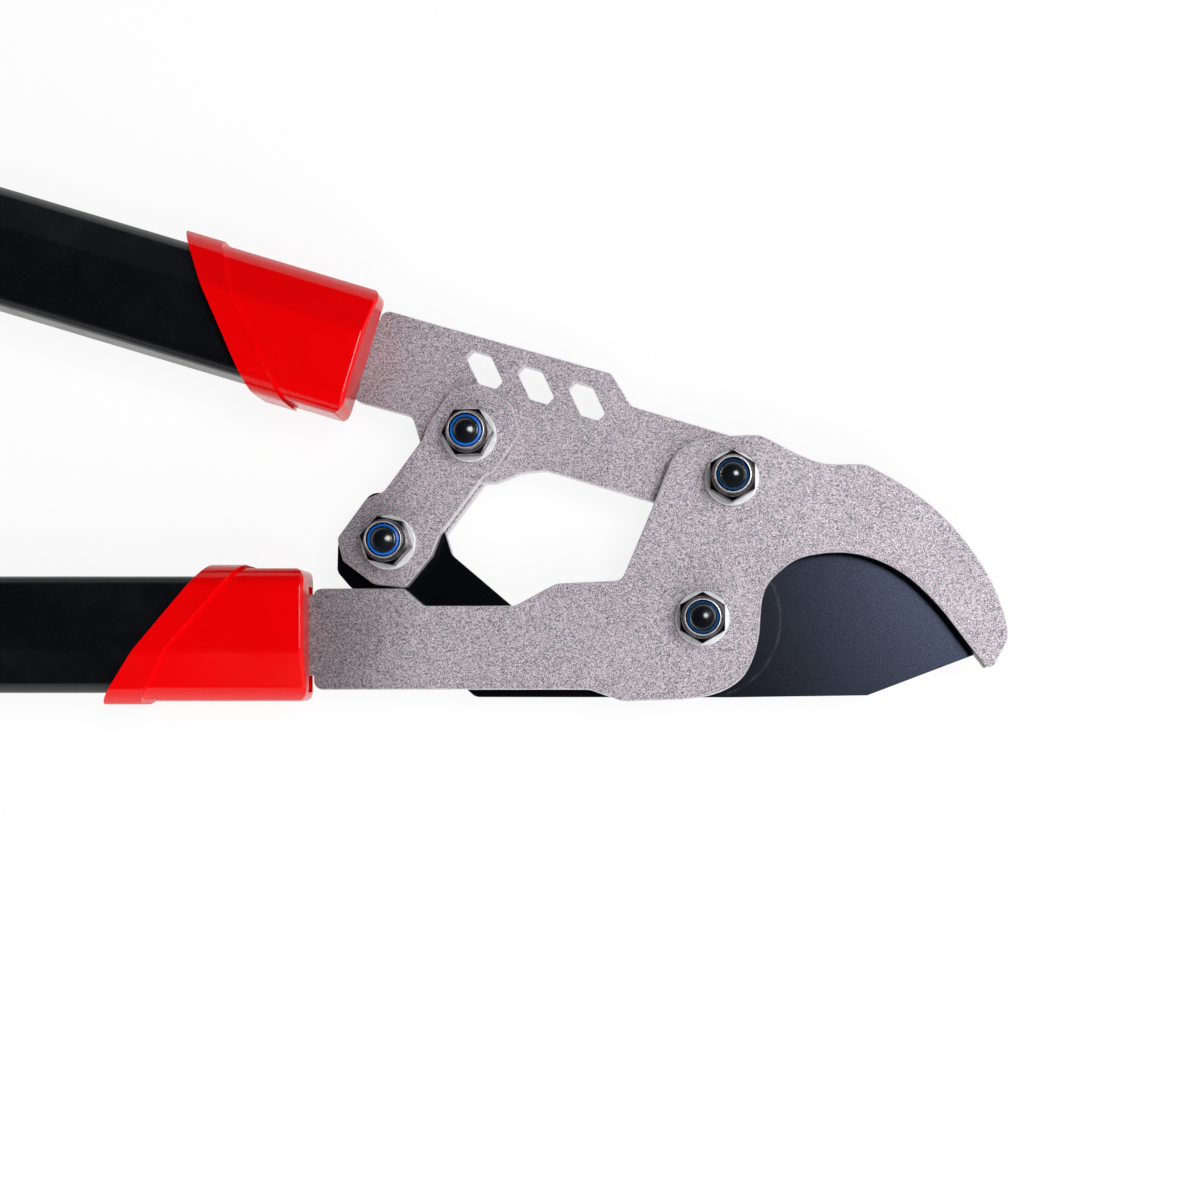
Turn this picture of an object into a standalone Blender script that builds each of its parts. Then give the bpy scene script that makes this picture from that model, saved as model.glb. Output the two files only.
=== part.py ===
"""Telescopic bypass lopper with a compound linkage, one object for each piece.

Every size below is in millimetres, and MM turns it into metres when a mesh is made.
The pivot frame lies in the tool's own plane: its origin is the blade pivot, +X runs to the
jaw along the lower handle, +Y to the upper handle and +Z out of the side that carries the
nuts. A handle frame starts at the front end of its collar, with +X along the handle to the
jaw. In the end the whole tool is moved so that its origin is the middle of its underside.
"""

import math

import bmesh
import bpy
from mathutils import Matrix, Vector

MM = 0.001
CLEAR = 0.3

# Pivots in the pivot frame, with the tool closed
HANDLE_PIVOT = (8.7, 41.1)
BLADE_PIVOT = (0.0, 0.0)
TAIL_PIVOT = (-92.2, 22.4)
TANG_PIVOT = (-68.4, 54.0)

# Layers of plate, measured along Z from the middle of the blade
BLADE_T = 4.0
HOOK_T = 5.0
LINK_T = 4.0
MIDDLE_TOP = BLADE_T / 2
FRONT_LAYER = MIDDLE_TOP + CLEAR

# Bolts, nuts and washers
BOLT_R = 4.0
BOLT_HOLE_R = BOLT_R + CLEAR
BOLT_TIP_R = 3.35
BOLT_TIP_DOME = 1.2
BOLT_TIP_STANDS = 0.2
HEX_FLATS = 13.0
HEAD_H = 5.3
NUT_H = 8.0
NUT_HEX_H = 6.2
NUT_FLAT_H = 3.8
NUT_RIM_R = 5.6
NUT_RIM_ROUND = 0.5
HEAD_CHAMFER = 1.0
INSERT_R = 4.4
WASHER_R = 8.0
WASHER_T = 1.6
ROUND_STEPS = 20

# The slot in the tang that takes up what the linkage's fixed ratios leave over
SLOT_FROM = (-1.1, -0.5)
SLOT_TO = (6.0, -2.4)
SLOT_R = BOLT_R + 1.4

# Section of the outer tube: a broad flat, a sloped shoulder outwards and a blunt nose
TUBE_HALF_H = 17.1
TUBE_HALF_T = 10.6
TUBE_RIDGE = 4.5
TUBE_NOSE = 6.0
TUBE_WALL = 1.5
INNER_R = 4.0
RIDGE_R = 3.0
NOSE_R = 5.0
TUBE_PLAY = 1.0

# Handles: where the collar's front end lies, which way the handle points, and its mid-plane
HANDLE_Z = 2.4
LOWER_END = (-115.7, -4.8)
UPPER_END = (-99.4, 77.7)
UPPER_TILT = math.radians(-16.6)

# Collar
COLLAR_WALL = 2.1
COLLAR_RIDGE_LEN = 48.7
COLLAR_SLANT = 0.84
COLLAR_OUTER_SLANT = 0.75
COLLAR_FRONT_WALL = 6.5
COLLAR_ROUND = 1.2
COLLAR_CORNER_R = 4.0
COLLAR_LEAN = 5.0
BAND_RAISED = 1.0
BAND_W = 8.6
BAND_SLANT = 0.88
BAND_OUTER_SLANT = 0.58

# Tang inside the collar and the insert that holds it
TANG_HALF_H = 12.0
TANG_LEN = 54.0
MOUTH_INNER = -14.2
MOUTH_OUTER = 16.9
MOUTH_DEPTH = 2.5
INSERT_LEN = 60.0
RIVET_R = 2.0
RIVETS = (18.0, 42.0)

# Telescope
OUTER_TUBE_REAR = 275.0
INNER_TUBE_FRONT = 66.0
GLIDE_FLANGE = 3.0
GLIDE_PLUG = 14.0
GLIDE_PROUD = 0.7

# Lock sleeve and its cam lever
SLEEVE_OVER_TUBE = 35.0
LEVER_BEHIND_TUBE = 13.0
SLEEVE_BEHIND_LEVER = 14.0
SLEEVE_FRONT = OUTER_TUBE_REAR - SLEEVE_OVER_TUBE
LEVER_AT = OUTER_TUBE_REAR + LEVER_BEHIND_TUBE
SLEEVE_REAR = LEVER_AT + SLEEVE_BEHIND_LEVER
SLEEVE_WALL = 3.0
SLEEVE_ROUND = 1.2
LEVER_STANDS = 5.0
LEVER_HUB_R = 5.2
LEVER_LEN = 44.5
LEVER_HALF_W = 6.5
EAR_T = 3.6
EAR_HALF_L = 6.5
PIN_R = 2.0
PAD_HALF_L = 5.0
PAD_HALF_W = 4.0

# Grip, which stops short of the sleeve when the handle is pushed in
GRIP_GAP = 16.0
GRIP_LEN = 164.0
GRIP_PAST_TUBE = 3.0
GRIP_FRONT = SLEEVE_REAR + GRIP_GAP
GRIP_REAR = GRIP_FRONT + GRIP_LEN
INNER_TUBE_REAR = GRIP_REAR - GRIP_PAST_TUBE
GRIP_HALF_H = 20.2
GRIP_HALF_T = 16.2
GUARD_LEN = 12.0
HEEL_LEN = 10.0
CORE_WALL = 2.3
CAP_T = 4.5
CAP_PLUG = 16.0
CAP_ROUND = 1.5

# How finely a round corner is cut into straight pieces
CHORD_ERROR = 0.06

# Outline of the hook plate in the pivot frame: straight parts as (x, y, radius) corners, and the
# back and the mouth as (x, y) points that a smooth curve is drawn through
HOOK_ARM = [
    (-87.8, 8.9, 2.0), (-82.0, 3.8, 2.0), (-55.2, 3.8, 3.0), (-43.0, 10.4, 6.0), (-23.7, 11.3, 3.0),
]
HOOK_BACK = [
    (-14.1, 34.2), (-10.5, 43.4), (-8.2, 47.9), (-4.1, 51.3), (1.9, 53.1), (8.6, 53.9), (15.5, 54.1),
    (19.0, 53.2), (28.6, 48.3), (36.4, 45.7), (47.0, 45.5), (51.1, 44.0), (61.3, 38.0), (71.9, 29.3),
    (80.9, 18.3), (86.6, 8.1), (89.6, -1.0), (90.0, -5.4), (89.0, -8.2), (85.8, -14.0),
]
HOOK_MOUTH = [
    (83.5, -14.4), (80.6, -10.6), (76.0, -4.6), (69.4, 3.8), (61.3, 11.6), (53.1, 16.5), (44.9, 19.0),
    (36.8, 19.2), (28.6, 17.6), (22.9, 13.7), (19.5, 10.0), (17.8, 5.9), (17.2, 0.6), (16.8, -4.7),
    (15.4, -10.7), (12.4, -16.7), (7.9, -20.4), (1.9, -22.7), (-5.6, -23.8),
]
HOOK_UNDER = [(-23.5, -24.4, 5.0), (-33.2, -20.9, 5.0)]
HOOK_ARM_TOP = 8.9
HOOK_ARM_BOTTOM = -20.9
HOOK_ARM_END = -114.3
SHOULDER_R = 2.6

# Outline of the upper tang: its shoulders at the collar, its upper edge and its lower edge
TANG_SHOULDER_TOP = (-94.9, 92.4)
TANG_SHOULDER_UNDER = (-103.7, 65.3)
TANG_TOP_CORNERS = [(-26.9, 73.3, 2.0), (-21.0, 63.6, 3.0)]
TANG_UNDER_CORNERS = [
    (-46.5, 44.5, 8.0), (-54.0, 43.6, 4.0), (-61.3, 40.6, 4.0), (-76.5, 40.6, 9.0), (-83.6, 51.5, 6.0),
    (-86.3, 60.6, 3.0),
]
TANG_HUB_R = 13.4
TANG_HUB_TOP = 50.8
TANG_HUB_UNDER = 24.1
HOLE_CENTRES = [(-64.8, 74.5), (-49.5, 69.9), (-34.3, 65.1)]
HOLE_HALF = [(-5.0, 4.6, 0.6), (0.4, 4.6, 1.0), (6.35, -2.0, 0.8)]

# Outline of the blade: the back, the tail, the hub and the cutting edge
BLADE_CORNERS = [
    (49.3, -22.6, 0.8), (8.0, -23.2, 0.0), (-67.4, -23.1, 3.0), (-105.0, 10.0, 3.0), (-108.6, 14.2, 3.0),
    (-108.4, 22.6, 4.0), (-98.6, 38.0, 4.0), (-84.0, 36.5, 8.0), (-76.6, 26.2, 3.0), (-74.4, 19.2, 3.0),
    (-53.5, 1.4, 8.0), (-27.5, 1.4, 8.0), (-20.0, 16.0, 10.0), (2.0, 23.8, 14.0), (18.0, 19.6, 12.0),
    (28.5, 22.9, 10.0),
]
CUTTING_EDGE = [(38.4, 25.2, 14.0), (54.0, 20.6, 30.0), (68.8, 8.8, 40.0), (83.0, -9.8, 0.5)]
GRIND_W = 9.0
GRIND_FROM = 30.0

# Outline of a link, along and across the line from the tail pivot to the tang pivot
LINK_TAIL_END = [
    (11.0, -10.3, 3.0), (4.6, -12.2, 2.0), (-7.8, -11.8, 2.0), (-12.6, -3.6, 3.0), (-12.6, 7.8, 1.5),
    (-8.3, 13.2, 2.0), (6.2, 13.4, 2.0), (11.2, 10.5, 3.0),
]
LINK_TANG_END = [
    (-9.0, 10.7, 3.0), (-5.0, 12.1, 2.0), (7.8, 12.8, 4.0), (13.8, 7.4, 3.0), (14.8, -4.2, 2.0),
    (9.6, -11.4, 2.0), (-4.4, -11.8, 2.0), (-7.6, -10.3, 2.0),
]

MATERIALS = {
    "hammered_grey": ((0.38, 0.35, 0.36), 0.55, 0.35),
    "blade_black": ((0.028, 0.042, 0.06), 0.38, 0.6),
    "zinc": ((0.72, 0.74, 0.76), 0.25, 1.0),
    "black_steel": ((0.012, 0.012, 0.013), 0.3, 0.9),
    "blue_nylon": ((0.02, 0.16, 0.6), 0.4, 0.0),
    "red_plastic": ((0.82, 0.003, 0.006), 0.28, 0.0),
    "black_tube": ((0.008, 0.01, 0.013), 0.35, 0.2),
    "grey_nylon": ((0.12, 0.12, 0.125), 0.5, 0.0),
    "black_rubber": ((0.012, 0.012, 0.013), 0.75, 0.0),
}


# Scene and materials


def clear_scene():
    """Remove what a new Blender file holds, and return the two collections used here."""
    for old in list(bpy.data.objects):
        bpy.data.objects.remove(old, do_unlink=True)
    made = {}
    for name, hidden in (("telescopic_lopper", False), ("cutters", True)):
        made[name] = bpy.data.collections.new(name)
        made[name].hide_render = hidden
        bpy.context.scene.collection.children.link(made[name])
    return made


def make_material(name):
    """A Principled material with the piece's colour, roughness and metallic value."""
    colour, roughness, metallic = MATERIALS[name]
    material = bpy.data.materials.new(name)
    material.use_nodes = True
    shader = material.node_tree.nodes["Principled BSDF"]
    shader.inputs["Base Color"].default_value = (*colour, 1.0)
    shader.inputs["Roughness"].default_value = roughness
    shader.inputs["Metallic"].default_value = metallic
    return material


COLLECTIONS = clear_scene()
PAINT = {name: make_material(name) for name in MATERIALS}
PIVOT_FRAME = Matrix.Identity(4)


# Outlines


def rounded(corners):
    """Points of the outline through (x, y, radius) corners, each turned with its own arc."""
    points = []
    for index, (x, y, radius) in enumerate(corners):
        corner = Vector((x, y))
        back = (Vector(corners[index - 1][:2]) - corner).normalized()
        ahead = (Vector(corners[(index + 1) % len(corners)][:2]) - corner).normalized()
        half = back.angle(ahead) / 2
        if radius == 0.0 or math.pi - 2 * half < math.radians(0.5):
            points.append((x, y))
            continue
        centre = corner + (back + ahead).normalized() * radius / math.sin(half)
        arm = corner + back * radius / math.tan(half) - centre
        turn = math.pi - 2 * half
        if back.cross(ahead) > 0:
            turn = -turn
        steps = max(1, math.ceil(abs(turn) / (2 * math.acos(1 - min(CHORD_ERROR / radius, 0.5)))))
        for step in range(steps + 1):
            spoke = arm.copy()
            spoke.rotate(Matrix.Rotation(turn * step / steps, 2))
            points.append(tuple(centre + spoke))
    return points


def curved(points, steps=2):
    """Corners of radius zero along a smooth curve through (x, y) points."""
    ends = [points[0], *points, points[-1]]
    made = []
    for before, start, end, after in zip(ends, ends[1:], ends[2:], ends[3:]):
        before, start, end, after = (Vector(point) for point in (before, start, end, after))
        for step in range(steps):
            t = step / steps
            place = start * 2 + (end - before) * t + (before * 2 - start * 5 + end * 4 - after) * t ** 2
            place += (start * 3 - before - end * 3 + after) * t ** 3
            made.append((*(place / 2), 0.0))
    return made + [(*points[-1], 0.0)]


def circle(centre, radius, steps=ROUND_STEPS):
    """Points of a round hole."""
    return [
        (centre[0] + radius * math.cos(math.tau * k / steps), centre[1] + radius * math.sin(math.tau * k / steps))
        for k in range(steps)
    ]


def arc(centre, radius, start, end, steps):
    """Points of an arc from one angle to another, in degrees."""
    return [
        (
            centre[0] + radius * math.cos(math.radians(start + (end - start) * k / steps)),
            centre[1] + radius * math.sin(math.radians(start + (end - start) * k / steps)),
        )
        for k in range(steps + 1)
    ]


def box(x0, x1, y0, y1):
    """Corners of a rectangle."""
    return [(x0, y0), (x1, y0), (x1, y1), (x0, y1)]


def grown(corners, distance):
    """Corners of an anticlockwise outline with every side moved out, and its radii to suit."""
    moved = []
    for index, (x, y, radius) in enumerate(corners):
        corner = Vector((x, y))
        back = (corner - Vector(corners[index - 1][:2])).normalized()
        ahead = (Vector(corners[(index + 1) % len(corners)][:2]) - corner).normalized()
        out_back = Vector((back.y, -back.x))
        out_ahead = Vector((ahead.y, -ahead.x))
        shift = (out_back + out_ahead) * distance / (1 + out_back.dot(out_ahead))
        moved.append((*(corner + shift), max(radius + distance, 0.6)))
    return moved


def tube_section(side, distance=0.0):
    """Section (y, z) of the tube, moved out by a distance; side is +1 where outwards is +Y."""
    corners = [
        (-TUBE_HALF_H, -TUBE_HALF_T, INNER_R),
        (TUBE_RIDGE, -TUBE_HALF_T, RIDGE_R),
        (TUBE_HALF_H, -TUBE_NOSE, NOSE_R),
        (TUBE_HALF_H, TUBE_NOSE, NOSE_R),
        (TUBE_RIDGE, TUBE_HALF_T, RIDGE_R),
        (-TUBE_HALF_H, TUBE_HALF_T, INNER_R),
    ]
    return [(side * y, z) for y, z in rounded(grown(corners, distance))]


# Solids


def new_object(name, mesh, frame, paint=None):
    """An object for a mesh, placed in its frame. Without paint it is a cutter."""
    made = bpy.data.objects.new(name, mesh)
    made.matrix_world = frame
    if paint is None:
        COLLECTIONS["cutters"].objects.link(made)
        made.hide_render = True
        made.display_type = "WIRE"
    else:
        COLLECTIONS["telescopic_lopper"].objects.link(made)
        mesh.materials.clear()
        mesh.materials.append(PAINT[paint])
    return made


def extruded_mesh(name, outline, low, high, holes=()):
    """A mesh of an outline in XY, filled and extruded between two heights along Z."""
    curve = bpy.data.curves.new(name, "CURVE")
    curve.dimensions = "2D"
    curve.fill_mode = "BOTH"
    curve.extrude = (high - low) / 2 * MM
    for ring in (outline, *holes):
        spline = curve.splines.new("POLY")
        spline.points.add(len(ring) - 1)
        spline.use_cyclic_u = True
        for point, (x, y) in zip(spline.points, ring):
            point.co = (x * MM, y * MM, 0.0, 1.0)
    shape = bpy.data.objects.new(name, curve)
    bpy.context.scene.collection.objects.link(shape)
    graph = bpy.context.evaluated_depsgraph_get()
    mesh = bpy.data.meshes.new_from_object(shape.evaluated_get(graph))
    bpy.data.objects.remove(shape, do_unlink=True)
    bpy.data.curves.remove(curve)
    work = bmesh.new()
    work.from_mesh(mesh)
    bmesh.ops.remove_doubles(work, verts=work.verts, dist=1e-6)
    bmesh.ops.translate(work, verts=work.verts, vec=(0.0, 0.0, (high + low) / 2 * MM))
    bmesh.ops.recalc_face_normals(work, faces=work.faces)
    work.to_mesh(mesh)
    work.free()
    mesh.name = name
    return mesh


def plate(name, outline, low, high, frame, paint=None, holes=()):
    """A flat piece with its outline in the frame's XY plane."""
    return new_object(name, extruded_mesh(name, outline, low, high, holes), frame, paint)


def run(name, section, front, rear, frame, paint=None, bore=None):
    """A piece of one section (y, z) along the frame's X, from front back to rear, both counted back."""
    holes = () if bore is None else (bore,)
    mesh = extruded_mesh(name, section, -rear, -front, holes)
    mesh.transform(Matrix(((0, 0, 1, 0), (1, 0, 0, 0), (0, 1, 0, 0), (0, 0, 0, 1))))
    return new_object(name, mesh, frame, paint)


def turned(name, profile, closed, frame, paint=None, steps=ROUND_STEPS):
    """A turned piece: (radius, z) points, down the outside, swept about the frame's Z."""
    mesh = bpy.data.meshes.new(name)
    work = bmesh.new()
    ring = [work.verts.new((r * MM, 0.0, z * MM)) for r, z in profile]
    for first, second in zip(ring, ring[1:]):
        work.edges.new((first, second))
    if closed:
        work.edges.new((ring[-1], ring[0]))
    work.to_mesh(mesh)
    work.free()
    made = new_object(name, mesh, frame, paint)
    screw = made.modifiers.new("turn", "SCREW")
    screw.axis = "Z"
    screw.angle = math.tau
    screw.steps = steps
    screw.render_steps = steps
    screw.use_merge_vertices = True
    screw.merge_threshold = 1e-6
    screw.use_normal_calculate = False
    return made


def pin(name, radius, low, high, frame, paint=None, steps=ROUND_STEPS):
    """A plain round pin or drill along the frame's Z."""
    return turned(name, [(0.0, high), (radius, high), (radius, low), (0.0, low)], False, frame, paint, steps)


def hexagon(name, low, high, frame, turn, paint=None):
    """A hexagonal prism along Z, one corner at the given angle from X."""
    mesh = bpy.data.meshes.new(name)
    work = bmesh.new()
    radius = HEX_FLATS / 2 / math.cos(math.pi / 6) * MM
    place = Matrix.Translation((0, 0, (low + high) / 2 * MM)) @ Matrix.Rotation(turn - math.pi / 2, 4, "Z")
    bmesh.ops.create_cone(
        work, cap_ends=True, segments=6, radius1=radius, radius2=radius, depth=(high - low) * MM, matrix=place
    )
    work.to_mesh(mesh)
    work.free()
    return new_object(name, mesh, frame, paint)


def block(name, low, high, frame, paint=None):
    """A box between two corners of the frame."""
    mesh = bpy.data.meshes.new(name)
    work = bmesh.new()
    low = Vector(low) * MM
    high = Vector(high) * MM
    bmesh.ops.create_cube(work, size=1.0)
    bmesh.ops.scale(work, verts=work.verts, vec=high - low)
    bmesh.ops.translate(work, verts=work.verts, vec=(low + high) / 2)
    work.to_mesh(mesh)
    work.free()
    return new_object(name, mesh, frame, paint)


def combine(made, operation, *tools):
    """Cut a piece by its tools, join them to it, or keep only what both hold."""
    for tool in tools:
        boolean = made.modifiers.new(tool.name, "BOOLEAN")
        boolean.operation = operation
        boolean.solver = "EXACT"
        boolean.object = tool
    return made


def round_end(made, x, width, segments=2):
    """Round the rim of a run of section where it ends at x along its frame."""
    work = bmesh.new()
    work.from_mesh(made.data)
    bmesh.ops.dissolve_limit(work, angle_limit=math.radians(1), verts=work.verts, edges=work.edges)
    rim = [
        edge for edge in work.edges
        if all(abs(vert.co.x - x * MM) < 1e-6 for vert in edge.verts)
    ]
    bmesh.ops.bevel(
        work, geom=rim, offset=width * MM, segments=segments, profile=0.5, affect="EDGES", clamp_overlap=True
    )
    work.to_mesh(made.data)
    work.free()
    return made


def smooth(made):
    """Shade a round piece smooth, with its corners sharp."""
    made.data.shade_smooth()
    made.data.set_sharp_from_angle(angle=math.radians(35))
    return made


# Joints and bodies


def joint_empty(name, place, parent):
    """An empty on a joint's axis, which carries the body that moves there."""
    empty = bpy.data.objects.new(name, None)
    empty.empty_display_size = 0.02
    COLLECTIONS["telescopic_lopper"].objects.link(empty)
    empty.location = Vector(place) * MM
    if parent is not None:
        bpy.context.view_layer.update()
        empty.parent = parent
        empty.matrix_parent_inverse = parent.matrix_world.inverted()
    bpy.context.view_layer.update()
    return empty


def ride(empty, pieces):
    """Hang pieces, and the tools that shape them, on a body's empty."""
    bpy.context.view_layer.update()
    for piece in pieces:
        tools = [modifier.object for modifier in piece.modifiers if modifier.type == "BOOLEAN"]
        for carried in (piece, *tools):
            carried.parent = empty
            carried.matrix_parent_inverse = empty.matrix_world.inverted()
            nested = [modifier.object for modifier in carried.modifiers if modifier.type == "BOOLEAN"]
            for tool in nested:
                tool.parent = empty
                tool.matrix_parent_inverse = empty.matrix_world.inverted()


# Head


def hook_plate():
    """The fixed jaw and the arm that runs back into the lower handle, cut from one plate."""
    arm_inside = LOWER_END[0] - TANG_LEN
    top_inside = LOWER_END[1] + TANG_HALF_H
    bottom_inside = LOWER_END[1] - TANG_HALF_H
    corners = HOOK_ARM + curved(HOOK_BACK) + curved(HOOK_MOUTH) + HOOK_UNDER + [
        (HOOK_ARM_END, HOOK_ARM_BOTTOM, SHOULDER_R),
        (HOOK_ARM_END, bottom_inside, 0.0),
        (arm_inside, bottom_inside, 2.0),
        (arm_inside, top_inside, 2.0),
        (HOOK_ARM_END, top_inside, 0.0),
        (HOOK_ARM_END, HOOK_ARM_TOP, SHOULDER_R),
    ]
    holes = [circle(HANDLE_PIVOT, BOLT_HOLE_R), circle(BLADE_PIVOT, BOLT_HOLE_R)]
    holes += [circle((LOWER_END[0] - at, LOWER_END[1]), RIVET_R + CLEAR, 12) for at in RIVETS]
    return plate(
        "hook_plate", rounded(corners), FRONT_LAYER, FRONT_LAYER + HOOK_T, PIVOT_FRAME, "hammered_grey", holes
    )


def in_upper_frame(along, across):
    """Pivot-frame place of a point in the upper handle's frame."""
    ahead = Vector((math.cos(UPPER_TILT), math.sin(UPPER_TILT)))
    return tuple(Vector(UPPER_END) + ahead * along + Vector((-ahead.y, ahead.x)) * across)


def on_line(start, end, across):
    """Where the line between two points crosses a given distance from the upper handle's axis."""
    normal = Vector((-math.sin(UPPER_TILT), math.cos(UPPER_TILT)))
    from_start = (Vector(start) - Vector(UPPER_END)).dot(normal)
    from_end = (Vector(end) - Vector(UPPER_END)).dot(normal)
    return tuple(Vector(start).lerp(Vector(end), (from_start - across) / (from_start - from_end)))


def upper_tang():
    """The plate of the upper handle, with its pivot, its three long holes and its slot."""
    nose = HANDLE_PIVOT[0] + TANG_HUB_R
    corners = [
        (*TANG_SHOULDER_TOP, SHOULDER_R), *TANG_TOP_CORNERS, (nose, TANG_HUB_TOP, TANG_HUB_R - 0.4),
        (nose, TANG_HUB_UNDER, TANG_HUB_R - 0.8), *TANG_UNDER_CORNERS, (*TANG_SHOULDER_UNDER, SHOULDER_R),
        (*on_line(TANG_SHOULDER_TOP, TANG_SHOULDER_UNDER, -TANG_HALF_H), 0.0),
        (*in_upper_frame(-TANG_LEN, -TANG_HALF_H), 2.0), (*in_upper_frame(-TANG_LEN, TANG_HALF_H), 2.0),
        (*on_line(TANG_SHOULDER_TOP, TANG_SHOULDER_UNDER, TANG_HALF_H), 0.0),
    ]
    holes = [circle(HANDLE_PIVOT, BOLT_HOLE_R), tang_slot()]
    holes += [circle(in_upper_frame(-at, 0.0), RIVET_R + CLEAR, 12) for at in RIVETS]
    half = HOLE_HALF + [(-x, -y, radius) for x, y, radius in HOLE_HALF]
    for centre in HOLE_CENTRES:
        turned_half = [Vector((x, y)) for x, y in rounded(half)]
        for point in turned_half:
            point.rotate(Matrix.Rotation(UPPER_TILT, 2))
        holes.append([tuple(Vector(centre) + point) for point in turned_half])
    return plate("upper_tang", rounded(corners), -MIDDLE_TOP, MIDDLE_TOP, PIVOT_FRAME, "hammered_grey", holes)


def tang_slot():
    """The long hole round the tang pivot, where the linkage is left open."""
    back = Vector(TANG_PIVOT) + Vector(SLOT_FROM)
    front = Vector(TANG_PIVOT) + Vector(SLOT_TO)
    tilt = math.degrees(math.atan2(front.y - back.y, front.x - back.x))
    return arc(front, SLOT_R, tilt - 90, tilt + 90, 10) + arc(back, SLOT_R, tilt + 90, tilt + 270, 10)


def blade():
    """The moving blade and its long tail, ground thin behind its cutting edge."""
    edge = rounded(BLADE_CORNERS + CUTTING_EDGE)
    made = plate(
        "blade", edge, -MIDDLE_TOP, MIDDLE_TOP, PIVOT_FRAME, "blade_black",
        [circle(BLADE_PIVOT, BOLT_HOLE_R), circle(TAIL_PIVOT, BOLT_HOLE_R)],
    )
    ground = [Vector((x, y)) for x, y in rounded(BLADE_CORNERS + CUTTING_EDGE) if x > GRIND_FROM and y > -20.0]
    tip = Vector(CUTTING_EDGE[-1][:2])
    for vert in made.data.vertices:
        place = Vector((vert.co.x, vert.co.y)) / MM
        if vert.co.z > 0 or min((place - point).length for point in ground) > 0.01:
            continue
        share = min(1.0, (place - tip).length / GRIND_W, (place.x - GRIND_FROM) / GRIND_W)
        inward = Vector((BLADE_PIVOT[0] + 30.0, BLADE_PIVOT[1] - 22.0)) - place
        vert.co.xy += inward.normalized() * GRIND_W * share * MM * 0.5
    return made


def link(name, low):
    """One of the two link plates that join the blade's tail to the upper tang."""
    tail = Vector(TAIL_PIVOT)
    along = (Vector(TANG_PIVOT) - tail).normalized()
    across = Vector((-along.y, along.x))
    length = (Vector(TANG_PIVOT) - tail).length
    local = LINK_TAIL_END + [(x + length, y, radius) for x, y, radius in LINK_TANG_END]
    corners = [(*(tail + along * x + across * y), radius) for x, y, radius in local]
    holes = [circle(TAIL_PIVOT, BOLT_HOLE_R), circle(TANG_PIVOT, BOLT_HOLE_R)]
    return plate(name, rounded(corners), low, low + LINK_T, PIVOT_FRAME, "hammered_grey", holes)


def bolted_joint(name, place, back, front, nut_paint, nut_turn, head_turn):
    """Bolt, washers, lock nut and nylon insert of a pivot between two faces along Z."""
    frame = Matrix.Translation((place[0] * MM, place[1] * MM, 0.0))
    rear_washer_top = back - CLEAR
    head_top = rear_washer_top - WASHER_T - CLEAR
    front_washer_low = front + CLEAR
    nut_low = front_washer_low + WASHER_T + CLEAR
    nut_top = nut_low + NUT_H
    hex_top = nut_low + NUT_HEX_H
    tip_top = nut_top + BOLT_TIP_STANDS + BOLT_TIP_DOME
    tip_low = hex_top - CLEAR
    bolt = turned(
        name + "_bolt",
        [
            (0.0, tip_top), (BOLT_TIP_R * 0.6, tip_top - BOLT_TIP_DOME * 0.25), (BOLT_TIP_R, tip_top - BOLT_TIP_DOME),
            (BOLT_TIP_R, tip_low), (BOLT_R, tip_low - 0.6), (BOLT_R, head_top - 1.0), (0.0, head_top - 1.0),
        ],
        False, frame, "black_steel",
    )
    head = hexagon(name + "_head", head_top - HEAD_H, head_top, frame, head_turn)
    corner_r = HEX_FLATS / 2 / math.cos(math.pi / 6) + 0.2
    trim = turned(
        name + "_head_trim",
        [
            (0.0, head_top + 1.0), (corner_r, head_top + 1.0), (corner_r, head_top - HEAD_H + HEAD_CHAMFER),
            (HEX_FLATS / 2 - 0.3, head_top - HEAD_H - 0.1), (0.0, head_top - HEAD_H - 0.1),
        ],
        False, frame,
    )
    combine(head, "INTERSECT", trim)
    combine(bolt, "UNION", head)
    nut = hexagon(name + "_nut", nut_low, nut_top, frame, nut_turn, nut_paint)
    form = turned(
        name + "_nut_form",
        [
            (INSERT_R + CLEAR, nut_top + 0.01), (NUT_RIM_R - NUT_RIM_ROUND, nut_top + 0.01),
            (NUT_RIM_R, nut_top - NUT_RIM_ROUND), (NUT_RIM_R, hex_top), (corner_r, nut_low + NUT_FLAT_H),
            (corner_r, nut_low - 1.0), (BOLT_HOLE_R, nut_low - 1.0), (BOLT_HOLE_R, hex_top - CLEAR),
            (INSERT_R + CLEAR, hex_top - CLEAR),
        ],
        True, frame,
    )
    combine(nut, "INTERSECT", form)
    insert = ring(name + "_insert", BOLT_TIP_R + CLEAR, INSERT_R, hex_top, nut_top - 0.3, frame, "blue_nylon")
    washer_paint = "zinc"
    front_washer = ring(
        name + "_front_washer", BOLT_HOLE_R, WASHER_R, front_washer_low, front_washer_low + WASHER_T, frame, washer_paint
    )
    rear_washer = ring(
        name + "_rear_washer", BOLT_HOLE_R, WASHER_R, rear_washer_top - WASHER_T, rear_washer_top, frame, washer_paint
    )
    return [smooth(piece) for piece in (bolt, nut, insert, front_washer, rear_washer)]


def ring(name, inner, outer, low, high, frame, paint=None):
    """A flat ring about the frame's Z, such as a washer."""
    return turned(name, [(outer, high), (outer, low), (inner, low), (inner, high)], True, frame, paint)


# Handles


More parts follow.
